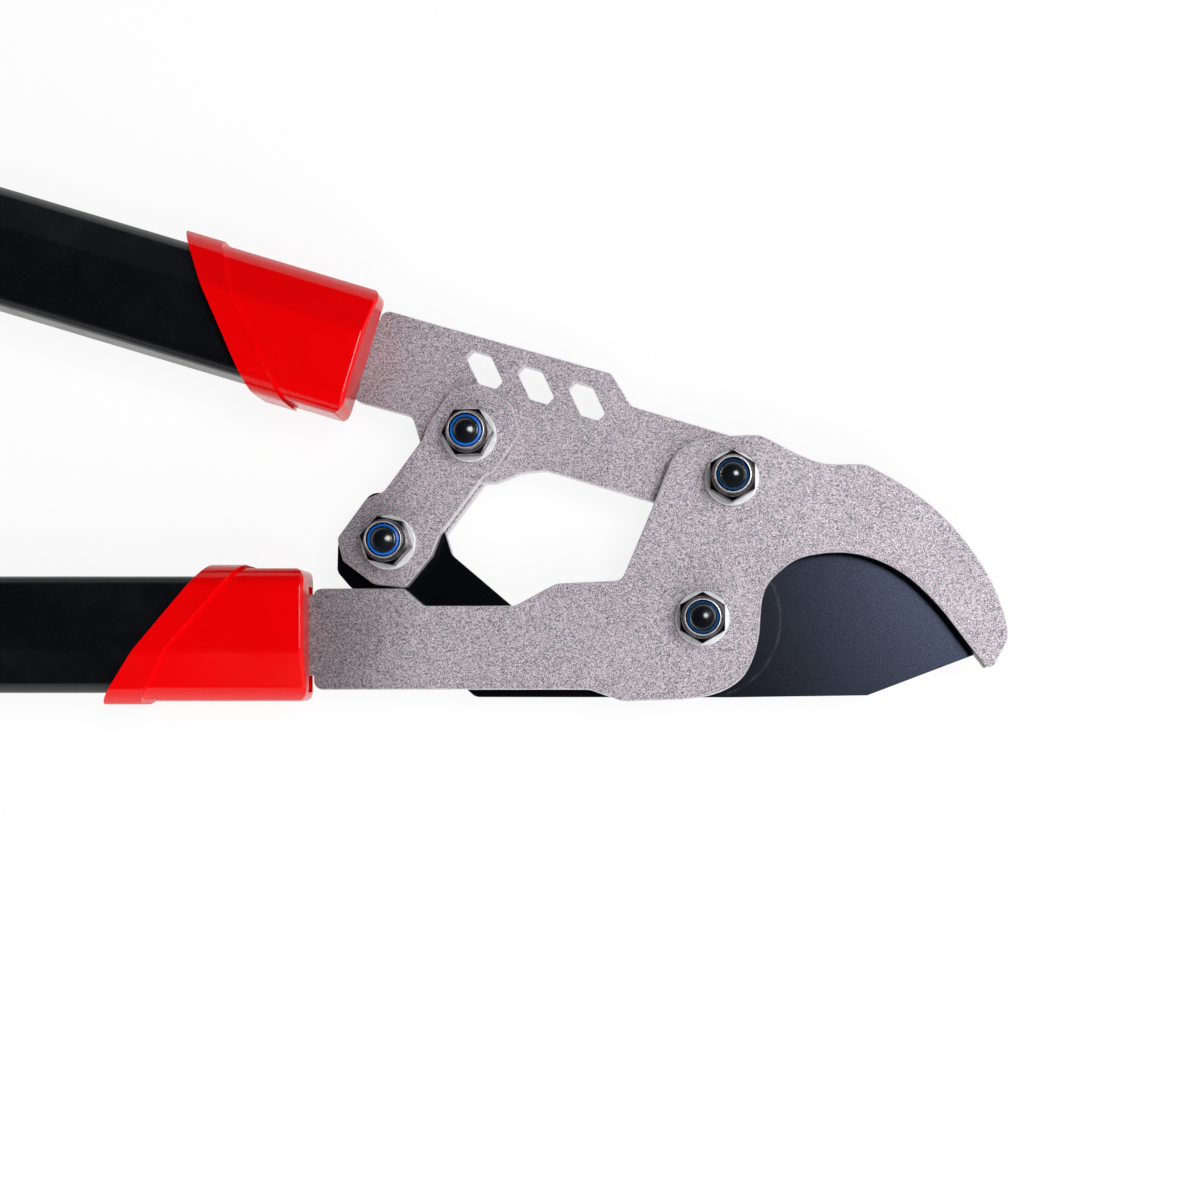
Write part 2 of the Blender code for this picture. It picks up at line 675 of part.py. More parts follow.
class Handle:
    """One handle: collar, outer tube, lock, inner tube and grip, in its own frame."""

    def __init__(self, name, end, tilt, side, tang_low, tang_high):
        self.name = name
        self.side = side
        self.tang_low = tang_low - HANDLE_Z
        self.tang_high = tang_high - HANDLE_Z
        self.frame = Matrix.Translation((end[0] * MM, end[1] * MM, HANDLE_Z * MM)) @ Matrix.Rotation(tilt, 4, "Z")
        self.lever_v = TUBE_HALF_H + CLEAR + SLEEVE_WALL + LEVER_STANDS

    def called(self, piece):
        """Node name of one of this handle's pieces."""
        return self.name + "_" + piece

    def section(self, distance=0.0):
        """The tube's section, moved out by a distance, for this side."""
        return tube_section(self.side, distance)

    def at(self, x, v, z=0.0):
        """The frame moved to a point of the handle, with v counted outwards."""
        return self.frame @ Matrix.Translation((x * MM, self.side * v * MM, z * MM))

    def plan(self, points):
        """Outline (x, v) seen from the front, v counted outwards."""
        return [(x, self.side * v) for x, v in points]

    def kept(self, at_ridge, slant, outer_slant, corner_r):
        """Plan outline of what lies in front of a slanting line that turns at the ridge."""
        reach = TUBE_HALF_H * 1.5
        side = TUBE_HALF_H + COLLAR_WALL + CLEAR + 0.05
        corners = [
            (at_ridge + slant * (reach + TUBE_RIDGE), -reach, 0.0), (-6.0, -reach, 0.0), (-6.0, -side, 0.0),
            (0.0, -side, corner_r), (0.0, side, corner_r), (-6.0, side, 0.0), (-6.0, reach, 0.0),
            (at_ridge - outer_slant * (reach - TUBE_RIDGE), reach, 0.0), (at_ridge, TUBE_RIDGE, 0.0),
        ]
        return self.plan(rounded(corners))

    def collar(self):
        """The moulded collar over the tube's front end, with its raised slanting band."""
        sleeve = COLLAR_WALL + CLEAR
        length = COLLAR_RIDGE_LEN + COLLAR_SLANT * TUBE_HALF_H + 4.0
        made = run(self.called("collar"), self.section(sleeve), 0.0, length, self.frame, "red_plastic")
        round_end(made, 0.0, COLLAR_ROUND)
        end = self.kept(-COLLAR_RIDGE_LEN, COLLAR_SLANT, COLLAR_OUTER_SLANT, COLLAR_CORNER_R)
        keep = plate(self.called("collar_keep"), end, -30.0, 30.0, self.frame)
        band = run(
            self.called("collar_band"), self.section(sleeve + BAND_RAISED), 8.0, length - 1.0, self.frame
        )
        step = self.kept(BAND_W - COLLAR_RIDGE_LEN, BAND_SLANT, BAND_OUTER_SLANT, 0.0)
        ahead = plate(self.called("collar_ahead"), step, -40.0, 40.0, self.frame)
        combine(band, "DIFFERENCE", ahead)
        combine(made, "UNION", band)
        combine(made, "INTERSECT", keep)
        cavity = run(
            self.called("collar_cavity"), self.section(CLEAR), COLLAR_FRONT_WALL, length + 20.0, self.frame
        )
        low, high = self.tang_low - CLEAR, self.tang_high + CLEAR
        slot = block(
            self.called("collar_slot"), (-COLLAR_FRONT_WALL - 2.0, -TANG_HALF_H - CLEAR, low),
            (2.0, TANG_HALF_H + CLEAR, high), self.frame,
        )
        low_v, high_v = sorted((self.side * MOUTH_INNER, self.side * MOUTH_OUTER))
        mouth = block(self.called("collar_mouth"), (-MOUTH_DEPTH, low_v, low), (3.0, high_v, high), self.frame)
        slope = COLLAR_LEAN / (TUBE_HALF_T + CLEAR + COLLAR_WALL)
        lean = plate(
            self.called("collar_lean"), [(0.2, 0.2), (-20.0 * slope, -20.0), (4.0, -20.0), (4.0, 0.2)], -40.0, 40.0,
            self.frame @ Matrix.Rotation(math.pi / 2, 4, "X"),
        )
        combine(made, "DIFFERENCE", cavity, slot, mouth, lean)
        return made

    def outer_tube(self):
        """The fixed tube, drilled for the two rivets that hold the tang."""
        made = run(
            self.called("outer_tube"), self.section(), COLLAR_FRONT_WALL + CLEAR, OUTER_TUBE_REAR, self.frame,
            "black_tube", self.section(-TUBE_WALL),
        )
        drills = [
            pin(self.called(f"tube_drill_{n}"), RIVET_R + CLEAR, -20.0, 20.0, self.at(-at, 0.0), steps=12)
            for n, at in enumerate(RIVETS)
        ]
        return combine(made, "DIFFERENCE", *drills)

    def tang_insert(self):
        """The nylon insert that fills the tube's end round the tang."""
        made = run(
            self.called("tang_insert"), self.section(-TUBE_WALL - CLEAR), COLLAR_FRONT_WALL + CLEAR, INSERT_LEN,
            self.frame, "grey_nylon",
        )
        slot = block(
            self.called("insert_slot"), (-TANG_LEN - CLEAR, -TANG_HALF_H - CLEAR, self.tang_low - CLEAR),
            (2.0, TANG_HALF_H + CLEAR, self.tang_high + CLEAR), self.frame,
        )
        drills = [
            pin(self.called(f"insert_drill_{n}"), RIVET_R + CLEAR, -20.0, 20.0, self.at(-at, 0.0), steps=12)
            for n, at in enumerate(RIVETS)
        ]
        return combine(made, "DIFFERENCE", slot, *drills)

    def rivets(self):
        """The two rivets through tube, insert and tang, flush with the tube's faces."""
        return [
            pin(self.called(f"{which}_rivet"), RIVET_R, -TUBE_HALF_T, TUBE_HALF_T, self.at(-at, 0.0), "zinc", 12)
            for which, at in zip(("front", "rear"), RIVETS)
        ]

    def lock_sleeve(self):
        """The sleeve at the tube's rear end, which guides the inner tube and carries the lever."""
        outer = CLEAR + SLEEVE_WALL
        made = run(self.called("lock_sleeve"), self.section(outer), SLEEVE_FRONT, SLEEVE_REAR, self.frame, "red_plastic")
        round_end(made, -SLEEVE_FRONT, SLEEVE_ROUND, 1)
        round_end(made, -SLEEVE_REAR, SLEEVE_ROUND, 1)
        top = self.lever_v + EAR_HALF_L
        ear_outline = self.plan([
            (-LEVER_AT - EAR_HALF_L, TUBE_HALF_H - 1.0), (-LEVER_AT + EAR_HALF_L, TUBE_HALF_H - 1.0),
            (-LEVER_AT + EAR_HALF_L, top - 4.0), (-LEVER_AT + 3.0, top), (-LEVER_AT - 3.0, top),
            (-LEVER_AT - EAR_HALF_L, top - 4.0),
        ])
        ear_low = LEVER_HALF_W + CLEAR
        for which, low in (("front", ear_low), ("rear", -ear_low - EAR_T)):
            ear = plate(self.called(f"ear_{which}"), ear_outline, low, low + EAR_T, self.frame)
            combine(made, "UNION", ear)
        wide = run(
            self.called("sleeve_bore"), self.section(CLEAR), SLEEVE_FRONT - 5.0, OUTER_TUBE_REAR + CLEAR, self.frame
        )
        narrow = run(
            self.called("sleeve_rear_bore"), self.section(CLEAR - TUBE_WALL - TUBE_PLAY), OUTER_TUBE_REAR - 3.0,
            SLEEVE_REAR + 5.0, self.frame,
        )
        low_v, high_v = sorted((self.side * (TUBE_HALF_H - 8.0), self.side * (self.lever_v + 10.0)))
        window = block(
            self.called("sleeve_window"),
            (-LEVER_AT - PAD_HALF_L - CLEAR, low_v, -LEVER_HALF_W - CLEAR),
            (-LEVER_AT + PAD_HALF_L + CLEAR, high_v, LEVER_HALF_W + CLEAR), self.frame,
        )
        drill = pin(self.called("ear_drill"), PIN_R + CLEAR, -20.0, 20.0, self.at(-LEVER_AT, self.lever_v), steps=12)
        return combine(made, "DIFFERENCE", wide, narrow, window, drill)

    def brake_pad(self):
        """The rubber pad that the cam presses against the inner tube."""
        low = TUBE_HALF_H - TUBE_WALL - TUBE_PLAY + CLEAR
        high = self.lever_v - LEVER_HUB_R - CLEAR
        low_v, high_v = sorted((self.side * low, self.side * high))
        return block(
            self.called("brake_pad"), (-LEVER_AT - PAD_HALF_L, low_v, -PAD_HALF_W),
            (-LEVER_AT + PAD_HALF_L, high_v, PAD_HALF_W), self.frame, "black_rubber",
        )

    def lever_pin(self):
        """The steel pin that the cam lever turns on."""
        half = LEVER_HALF_W + CLEAR + EAR_T
        return pin(self.called("lever_pin"), PIN_R, -half, half, self.at(-LEVER_AT, self.lever_v), "zinc", 12)

    def lock_lever(self):
        """The cam lever, lying forward along the sleeve when it is locked."""
        hub = LEVER_HUB_R
        corners = [
            (-hub, -hub, hub), (LEVER_LEN * 0.2, -hub + 0.9, 6.0), (LEVER_LEN * 0.7, -2.7, 14.0),
            (LEVER_LEN, 0.6, 1.2), (LEVER_LEN - 0.8, 4.6, 1.2), (LEVER_LEN * 0.68, 1.4, 14.0), (hub, hub, 4.0),
            (-hub, hub, hub),
        ]
        outline = self.plan(rounded(corners))
        hole = circle((0.0, 0.0), PIN_R + CLEAR, 12)
        return plate(
            self.called("lock_lever"), outline, -LEVER_HALF_W, LEVER_HALF_W, self.at(-LEVER_AT, self.lever_v),
            "black_tube", [hole],
        )

    def inner_tube(self):
        """The sliding tube that carries the grip."""
        outer = -TUBE_WALL - TUBE_PLAY
        return run(
            self.called("inner_tube"), self.section(outer), INNER_TUBE_FRONT, INNER_TUBE_REAR, self.frame,
            "black_tube", self.section(outer - TUBE_WALL),
        )

    def glide(self):
        """The nylon glide in the inner tube's front end, too wide to leave the sleeve."""
        flange_front = INNER_TUBE_FRONT - CLEAR - GLIDE_FLANGE
        made = run(
            self.called("glide"), self.section(-TUBE_WALL - TUBE_PLAY + GLIDE_PROUD), flange_front,
            INNER_TUBE_FRONT - CLEAR, self.frame, "grey_nylon",
        )
        plug = run(
            self.called("glide_plug"), self.section(-2 * TUBE_WALL - TUBE_PLAY - CLEAR), flange_front + 1.0,
            INNER_TUBE_FRONT + GLIDE_PLUG, self.frame,
        )
        return combine(made, "UNION", plug)

    def grip_section(self, half_h, half_t):
        """Section of the grip: the tube's shape, fuller all round."""
        ridge = TUBE_RIDGE
        corners = [
            (-half_h, -half_t, 8.0), (ridge, -half_t, 6.0), (half_h, -half_t * 0.6, 9.0), (half_h, half_t * 0.6, 9.0),
            (ridge, half_t, 6.0), (-half_h, half_t, 8.0),
        ]
        return [(self.side * y, z) for y, z in rounded(corners)]

    def grip_core(self):
        """The hard core of the grip, with its guard at the front and its heel at the rear."""
        made = run(
            self.called("grip_core"), self.grip_section(GRIP_HALF_H, GRIP_HALF_T), GRIP_FRONT, GRIP_REAR, self.frame,
            "red_plastic",
        )
        round_end(made, -GRIP_FRONT, CAP_ROUND * 2)
        bore = run(
            self.called("grip_bore"), self.section(CLEAR - TUBE_WALL - TUBE_PLAY), GRIP_FRONT - 5.0, GRIP_REAR + 5.0,
            self.frame,
        )
        waist = run(
            self.called("grip_waist"), self.grip_section(GRIP_HALF_H * 2, GRIP_HALF_T * 2), GRIP_FRONT + GUARD_LEN,
            GRIP_REAR - HEEL_LEN, self.frame, bore=self.section(CORE_WALL - TUBE_WALL - TUBE_PLAY),
        )
        return combine(made, "DIFFERENCE", bore, waist)

    def grip_sleeve(self):
        """The soft sleeve of the grip, between guard and heel."""
        front = GRIP_FRONT + GUARD_LEN + CLEAR
        rear = GRIP_REAR - HEEL_LEN - CLEAR
        return run(
            self.called("grip_sleeve"), self.grip_section(GRIP_HALF_H, GRIP_HALF_T), front, rear, self.frame,
            "black_rubber", self.section(CORE_WALL - TUBE_WALL - TUBE_PLAY + CLEAR),
        )

    def end_cap(self):
        """The cap that closes the grip and plugs the inner tube."""
        front = GRIP_REAR + CLEAR
        made = run(
            self.called("end_cap"), self.grip_section(GRIP_HALF_H - 0.8, GRIP_HALF_T - 0.8), front, front + CAP_T,
            self.frame, "black_rubber",
        )
        round_end(made, -front - CAP_T, CAP_ROUND)
        plug = run(
            self.called("cap_plug"), self.section(-2 * TUBE_WALL - TUBE_PLAY - CLEAR), INNER_TUBE_REAR - CAP_PLUG,
            front + 1.0, self.frame,
        )
        return combine(made, "UNION", plug)

    def fixed_pieces(self):
        """The pieces that stay with the tang."""
        return [
            self.collar(), self.outer_tube(), self.tang_insert(), *self.rivets(), self.lock_sleeve(),
            self.brake_pad(), self.lever_pin(),
        ]

    def sliding_pieces(self):
        """The pieces that slide with the inner tube."""
        return [self.inner_tube(), self.glide(), self.grip_core(), self.grip_sleeve(), self.end_cap()]

    def lever_place(self):
        """Pivot-frame place of the lever's pin."""
        return self.at(-LEVER_AT, self.lever_v).translation / MM


# Assembly


def assemble():
    """Build every piece and hang it on the empty of the body that it moves with."""
    root = joint_empty("lopper", (0.0, 0.0, 0.0), None)
    handle_joint = joint_empty("handle_pivot", (*HANDLE_PIVOT, 0.0), root)
    blade_joint = joint_empty("blade_pivot", (*BLADE_PIVOT, 0.0), root)
    link_joint = joint_empty("link_pivot", (*TAIL_PIVOT, 0.0), blade_joint)
    link_back = -FRONT_LAYER - LINK_T
    link_front = FRONT_LAYER + LINK_T
    hook_front = FRONT_LAYER + HOOK_T
    ride(root, [
        hook_plate(),
        *bolted_joint("handle_pivot", HANDLE_PIVOT, -MIDDLE_TOP, hook_front, "black_steel", math.radians(90), 0.0),
        *bolted_joint("blade_pivot", BLADE_PIVOT, -MIDDLE_TOP, hook_front, "black_steel", math.radians(90), 0.4),
    ])
    ride(blade_joint, [blade()])
    ride(link_joint, [
        link("front_link", FRONT_LAYER),
        link("rear_link", link_back),
        *bolted_joint("tail_pivot", TAIL_PIVOT, link_back, link_front, "zinc", math.radians(-15), 0.2),
        *bolted_joint("tang_pivot", TANG_PIVOT, link_back, link_front, "zinc", 0.0, 0.7),
    ])
    lower = Handle("lower", LOWER_END, 0.0, -1.0, FRONT_LAYER, hook_front)
    upper = Handle("upper", UPPER_END, UPPER_TILT, 1.0, -MIDDLE_TOP, MIDDLE_TOP)
    for handle, carrier, extra in ((lower, root, []), (upper, handle_joint, [upper_tang()])):
        slide = joint_empty(handle.called("slide"), handle.at(-INNER_TUBE_FRONT, 0.0).translation / MM, carrier)
        hinge = joint_empty(handle.called("lever_hinge"), handle.lever_place(), carrier)
        ride(carrier, extra + handle.fixed_pieces())
        ride(slide, handle.sliding_pieces())
        ride(hinge, [handle.lock_lever()])
    return root


def stand_on_floor(root):
    """Move the tool so that its origin is the middle of its underside."""
    bpy.context.view_layer.update()
    graph = bpy.context.evaluated_depsgraph_get()
    corners = []
    for piece in COLLECTIONS["telescopic_lopper"].objects:
        if piece.type == "MESH":
            shown = piece.evaluated_get(graph)
            corners += [shown.matrix_world @ vert.co for vert in shown.data.vertices]
    low = Vector(min(corner[axis] for corner in corners) for axis in range(3))
    high = Vector(max(corner[axis] for corner in corners) for axis in range(3))
    root.location -= Vector(((low.x + high.x) / 2, (low.y + high.y) / 2, low.z))
    bpy.context.view_layer.update()


def main():
    """Build the lopper and set it on the floor."""
    stand_on_floor(assemble())


main()
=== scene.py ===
"""Looks of the telescopic bypass lopper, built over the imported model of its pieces.

Pieces are modelled in millimetres in a frame of their own, and `settle` then turns them into
metres in the shared frame, with the place in the mesh. A handle's own frame starts at the front
end of its collar, with +X along the handle to the jaw.
"""

import logging
import math
from dataclasses import dataclass, field
from enum import Enum
from functools import cached_property
from typing import Callable, Optional, Sequence

import bpy
from mathutils import Matrix, Vector


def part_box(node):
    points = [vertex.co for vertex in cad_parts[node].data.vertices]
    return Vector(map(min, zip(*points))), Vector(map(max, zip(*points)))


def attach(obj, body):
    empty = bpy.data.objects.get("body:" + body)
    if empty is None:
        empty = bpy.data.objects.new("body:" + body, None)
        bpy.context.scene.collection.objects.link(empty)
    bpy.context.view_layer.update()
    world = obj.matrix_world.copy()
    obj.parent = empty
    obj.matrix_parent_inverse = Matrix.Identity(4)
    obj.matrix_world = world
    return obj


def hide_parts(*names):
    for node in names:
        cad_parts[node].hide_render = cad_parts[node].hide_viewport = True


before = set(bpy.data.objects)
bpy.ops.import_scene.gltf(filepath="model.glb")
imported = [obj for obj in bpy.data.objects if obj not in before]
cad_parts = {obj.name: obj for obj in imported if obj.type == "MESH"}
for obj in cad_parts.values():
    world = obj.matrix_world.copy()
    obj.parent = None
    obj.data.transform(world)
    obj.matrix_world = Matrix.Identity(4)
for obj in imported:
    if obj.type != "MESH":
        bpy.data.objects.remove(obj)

LOG = logging.getLogger("lopper")
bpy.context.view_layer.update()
MM = 0.001
CLEAR = 0.3
CUT_PAST = 5.0

Piece = bpy.types.Object
Material = bpy.types.Material
Socket = bpy.types.NodeSocket
Point = tuple[float, float]
Corner = tuple[float, float, float]
Colour = tuple[float, float, float]


# Modelling moves


class Pick(Enum):
    """What a selection in edit mode is made of."""

    VERTS = "VERT"
    EDGES = "EDGE"
    FACES = "FACE"


def leave_edit_mode() -> None:
    """Go back to object mode with nothing selected."""
    if bpy.context.object is not None and bpy.context.object.mode != "OBJECT":
        bpy.ops.object.mode_set(mode="OBJECT")
    bpy.ops.object.select_all(action="DESELECT")


def hold(piece: Piece) -> None:
    """Make one piece the only one selected, and the active one.

    Args:
        piece: the piece that the next operators act on.
    """
    leave_edit_mode()
    piece.select_set(True)
    bpy.context.view_layer.objects.active = piece


def bake_place(piece: Piece) -> None:
    """Take a piece's place, turn and scale into its mesh."""
    hold(piece)
    bpy.ops.object.transform_apply(location=True, rotation=True, scale=True)


def pick(piece: Piece, kind: Pick, test: Optional[Callable[..., bool]] = None) -> None:
    """Enter edit mode with only those elements selected that pass a test.

    Args:
        piece: the piece to work on.
        kind: whether vertices, edges or faces are selected.
        test: called with a vertex's place, an edge's two places, or a face's centre and normal;
            everything is selected without it.
    """
    hold(piece)
    bpy.ops.object.mode_set(mode="EDIT")
    bpy.ops.mesh.select_mode(type=kind.value)
    bpy.ops.mesh.select_all(action="SELECT" if test is None else "DESELECT")
    if test is None:
        return
    bpy.ops.object.mode_set(mode="OBJECT")
    mesh = piece.data
    if kind is Pick.VERTS:
        for vert in mesh.vertices:
            vert.select = test(vert.co)
    elif kind is Pick.EDGES:
        for edge in mesh.edges:
            edge.select = test(*(mesh.vertices[end].co for end in edge.vertices))
    else:
        for face in mesh.polygons:
            face.select = test(face.center, face.normal)
    bpy.ops.object.mode_set(mode="EDIT")


def shift_picked(by: Vector) -> None:
    """Move what is selected, and leave edit mode."""
    bpy.ops.transform.translate(value=by)
    leave_edit_mode()


def round_picked(width: float, segments: int) -> None:
    """Round the selected edges, and leave edit mode."""
    bpy.ops.mesh.bevel(offset=width, offset_type="OFFSET", segments=segments, profile=0.5, affect="EDGES")
    leave_edit_mode()


def quarter_steps(count: int) -> list[Point]:
    """Moves (inwards, upwards) that follow a quarter circle of radius 1 in equal turns."""
    turns = [math.pi / 2 * step / count for step in range(count + 1)]
    return [(math.cos(a) - math.cos(b), math.sin(b) - math.sin(a)) for a, b in zip(turns, turns[1:])]


def inset_picked(*steps: Point) -> None:
    """Draw the selected faces in and raise them, step by step, and leave edit mode.

    Args:
        steps: how far inwards and how far out each step goes.
    """
    for inward, out in steps:
        bpy.ops.mesh.inset(thickness=inward, depth=out, use_even_offset=True)
    leave_edit_mode()


def tidy_mesh(piece: Piece, distance: float = 1e-4) -> Piece:
    """Merge vertices that share a place, and turn all faces outwards.

    Args:
        piece: the piece to tidy.
        distance: how close two vertices may be before they are merged.

    Returns:
        The piece, in object mode.
    """
    pick(piece, Pick.VERTS)
    bpy.ops.mesh.remove_doubles(threshold=distance)
    bpy.ops.mesh.normals_make_consistent(inside=False)
    leave_edit_mode()
    return piece


def corner_offset(corners: list[Corner], index: int) -> float:
    """How far a corner's rounding reaches along the sides that meet there.

    Args:
        corners: the outline's (x, y, radius) corners.
        index: which corner.

    Returns:
        The distance from the corner to where its arc begins.
    """
    here = Vector(corners[index][:2])
    back = (Vector(corners[index - 1][:2]) - here).normalized()
    ahead = (Vector(corners[(index + 1) % len(corners)][:2]) - here).normalized()
    return corners[index][2] * math.tan((math.pi - back.angle(ahead)) / 2)


def prism(name: str, corners: list[Corner], low: float, high: float, segments: int = 8) -> Piece:
    """A prism along Z over an outline with rounded corners.

    Each corner is first moved to a height of its own, so that no two are ever at one place.

    Args:
        name: the piece's name.
        corners: (x, y, radius) of each corner, in order.
        low: the lower end.
        high: the upper end.
        segments: straight parts in each rounded corner.

    Returns:
        The new piece.
    """
    leave_edit_mode()
    bpy.ops.mesh.primitive_circle_add(vertices=len(corners), radius=1.0, fill_type="NGON")
    made = bpy.context.object
    made.name = name
    lifts = [10.0 * (index + 1) for index in range(len(corners))]
    for index, (x, y, _) in enumerate(corners):
        start = made.data.vertices[index].co.copy()
        pick(made, Pick.VERTS, lambda place, start=start: (place - start).length < 1e-6)
        shift_picked(Vector((x, y, low)) + Vector((0, 0, lifts[index])) - start)
    for lift in lifts:
        pick(made, Pick.VERTS, lambda place, lift=lift: abs(place.z - low - lift) < 1e-2)
        shift_picked(Vector((0.0, 0.0, -lift)))
    for index, (x, y, radius) in enumerate(corners):
        if radius <= 0.0:
            continue
        corner = Vector((x, y, low))
        pick(made, Pick.VERTS, lambda place, corner=corner: (place - corner).length < 1e-3)
        bpy.ops.mesh.bevel(
            offset=corner_offset(corners, index), offset_type="OFFSET", segments=segments, profile=0.5,
            affect="VERTICES", clamp_overlap=False,
        )
        leave_edit_mode()
    pick(made, Pick.FACES)
    bpy.ops.mesh.extrude_region_move(TRANSFORM_OT_translate={"value": (0.0, 0.0, high - low)})
    return tidy_mesh(made)


RUN = Matrix(((0, 0, 1, 0), (1, 0, 0, 0), (0, 1, 0, 0), (0, 0, 0, 1)))


def bar(name: str, section: list[Corner], front: float, rear: float) -> Piece:
    """A bar of one section along X, with both ends counted back from the collar's front.

    Args:
        name: the piece's name.
        section: (y, z, radius) of each corner of the section.
        front: where the bar starts.
        rear: where it ends.

    Returns:
        The new piece.
    """
    made = prism(name, section, -rear, -front)
    made.matrix_world = RUN
    bake_place(made)
    return tidy_mesh(made)


def grow_ring(climb: float, ratio: float, height: float) -> None:
    """Extrude the selected ring or face along Z, and scale it about the axis at its new height.

    Args:
        climb: how far it is extruded.
        ratio: its new size as a share of its old one.
        height: the new height.
    """
    bpy.ops.mesh.extrude_region_move(TRANSFORM_OT_translate={"value": (0.0, 0.0, climb)})
    if abs(ratio - 1.0) > 1e-9:
        bpy.ops.transform.resize(value=(ratio, ratio, 1.0), center_override=(0.0, 0.0, height))


def lathe(name: str, profile: list[Point], closed: bool = False, segments: int = 64) -> Piece:
    """A turned piece about Z, made ring by ring.

    Args:
        name: the piece's name.
        profile: (radius, z) of each ring in order; no radius is zero.
        closed: True for a ring whose last point joins the first, False for a solid capped at both ends.
        segments: straight parts round the piece.

    Returns:
        The new piece.
    """
    leave_edit_mode()
    radius, height = profile[0]
    bpy.ops.mesh.primitive_circle_add(
        vertices=segments, radius=radius, fill_type="NOTHING" if closed else "NGON", location=(0.0, 0.0, height)
    )
    made = bpy.context.object
    made.name = name
    bake_place(made)
    pick(made, Pick.EDGES if closed else Pick.FACES)
    for next_radius, next_height in profile[1:] + ([profile[0]] if closed else []):
        grow_ring(next_height - height, next_radius / radius, next_height)
        radius, height = next_radius, next_height
    return tidy_mesh(made)


def apply(piece: Piece, kind: str, **settings: object) -> Piece:
    """Add a modifier to a piece and apply it.

    Args:
        piece: the piece.
        kind: the modifier's type.
        settings: its settings.

    Returns:
        The piece.
    """
    modifier = piece.modifiers.new(kind.lower(), kind)
    for setting, value in settings.items():
        setattr(modifier, setting, value)
    hold(piece)
    bpy.ops.object.modifier_apply(modifier=modifier.name)
    return piece


def combine(piece: Piece, operation: str, *tools: Piece) -> None:
    """Cut a piece by its tools, join them to it, or keep only what both hold.

    Args:
        piece: the piece to change.
        operation: DIFFERENCE, UNION or INTERSECT.
        tools: the pieces it is combined with, which are used up.
    """
    for tool in tools:
        apply(piece, "BOOLEAN", operation=operation, solver="EXACT", object=tool)
        bpy.data.objects.remove(tool, do_unlink=True)


def soften(piece: Piece, width: float = 0.0, segments: int = 3, angle: float = 32.0) -> Piece:
    """Round a piece's sharp edges, and shade it so that its flats stay flat.

    Args:
        piece: the piece.
        width: how wide the rounding is; zero only shades.
        segments: strips across the rounding.
        angle: edges that turn by more than this, in degrees, are rounded.

    Returns:
        The piece.
    """
    if width > 0.0:
        apply(
            piece, "BEVEL", width=width, segments=segments, limit_method="ANGLE", angle_limit=math.radians(angle),
            miter_outer="MITER_ARC",
        )
    hold(piece)
    bpy.ops.object.shade_smooth_by_angle(angle=math.radians(38.0))
    return apply(piece, "WEIGHTED_NORMAL", keep_sharp=True, weight=80)


def settle(piece: Piece, place: Matrix, body: str, slot: str, paints: Sequence[str], *nodes: str) -> None:
    """Put a finished piece in the shared frame, paint it and let it ride on its body.

    Args:
        piece: the piece, in millimetres in its own frame.
        place: its frame, in millimetres from the blade pivot.
        body: the body it moves with.
        slot: the record's material slot; not used.
        paints: names of its finishes, in the order of its faces' indices.
        nodes: the CAD nodes that it stands for.
    """
    piece.matrix_world = Matrix.Scale(MM, 4) @ Matrix.Translation(ORIGIN) @ place
    bake_place(piece)
    faces = piece.data.polygons
    marks = [min(face.material_index, len(paints) - 1) for face in faces]
    piece.data.materials.clear()
    for paint in paints:
        piece.data.materials.append(PAINT[paint])
    faces.foreach_set("material_index", marks)
    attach(piece, body)
    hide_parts(*nodes)
    leave_edit_mode()
    LOG.info("%s on %s, %d faces", piece.name, body, len(faces))


def node_box(node: str) -> tuple[Vector, Vector]:
    """Lowest and highest corner of a CAD node, in millimetres from the blade pivot."""
    low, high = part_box(node)
    return low / MM - ORIGIN, high / MM - ORIGIN


def find_origin() -> Vector:
    """Find the blade pivot at the middle of the blade's thickness.

    Returns:
        Its place, in millimetres.
    """
    low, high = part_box("blade_pivot_front_washer")
    blade_low, blade_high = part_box("blade")
    return Vector(((low.x + high.x) / 2, (low.y + high.y) / 2, (blade_low.z + blade_high.z) / 2)) / MM


ORIGIN = find_origin()


# Finishes


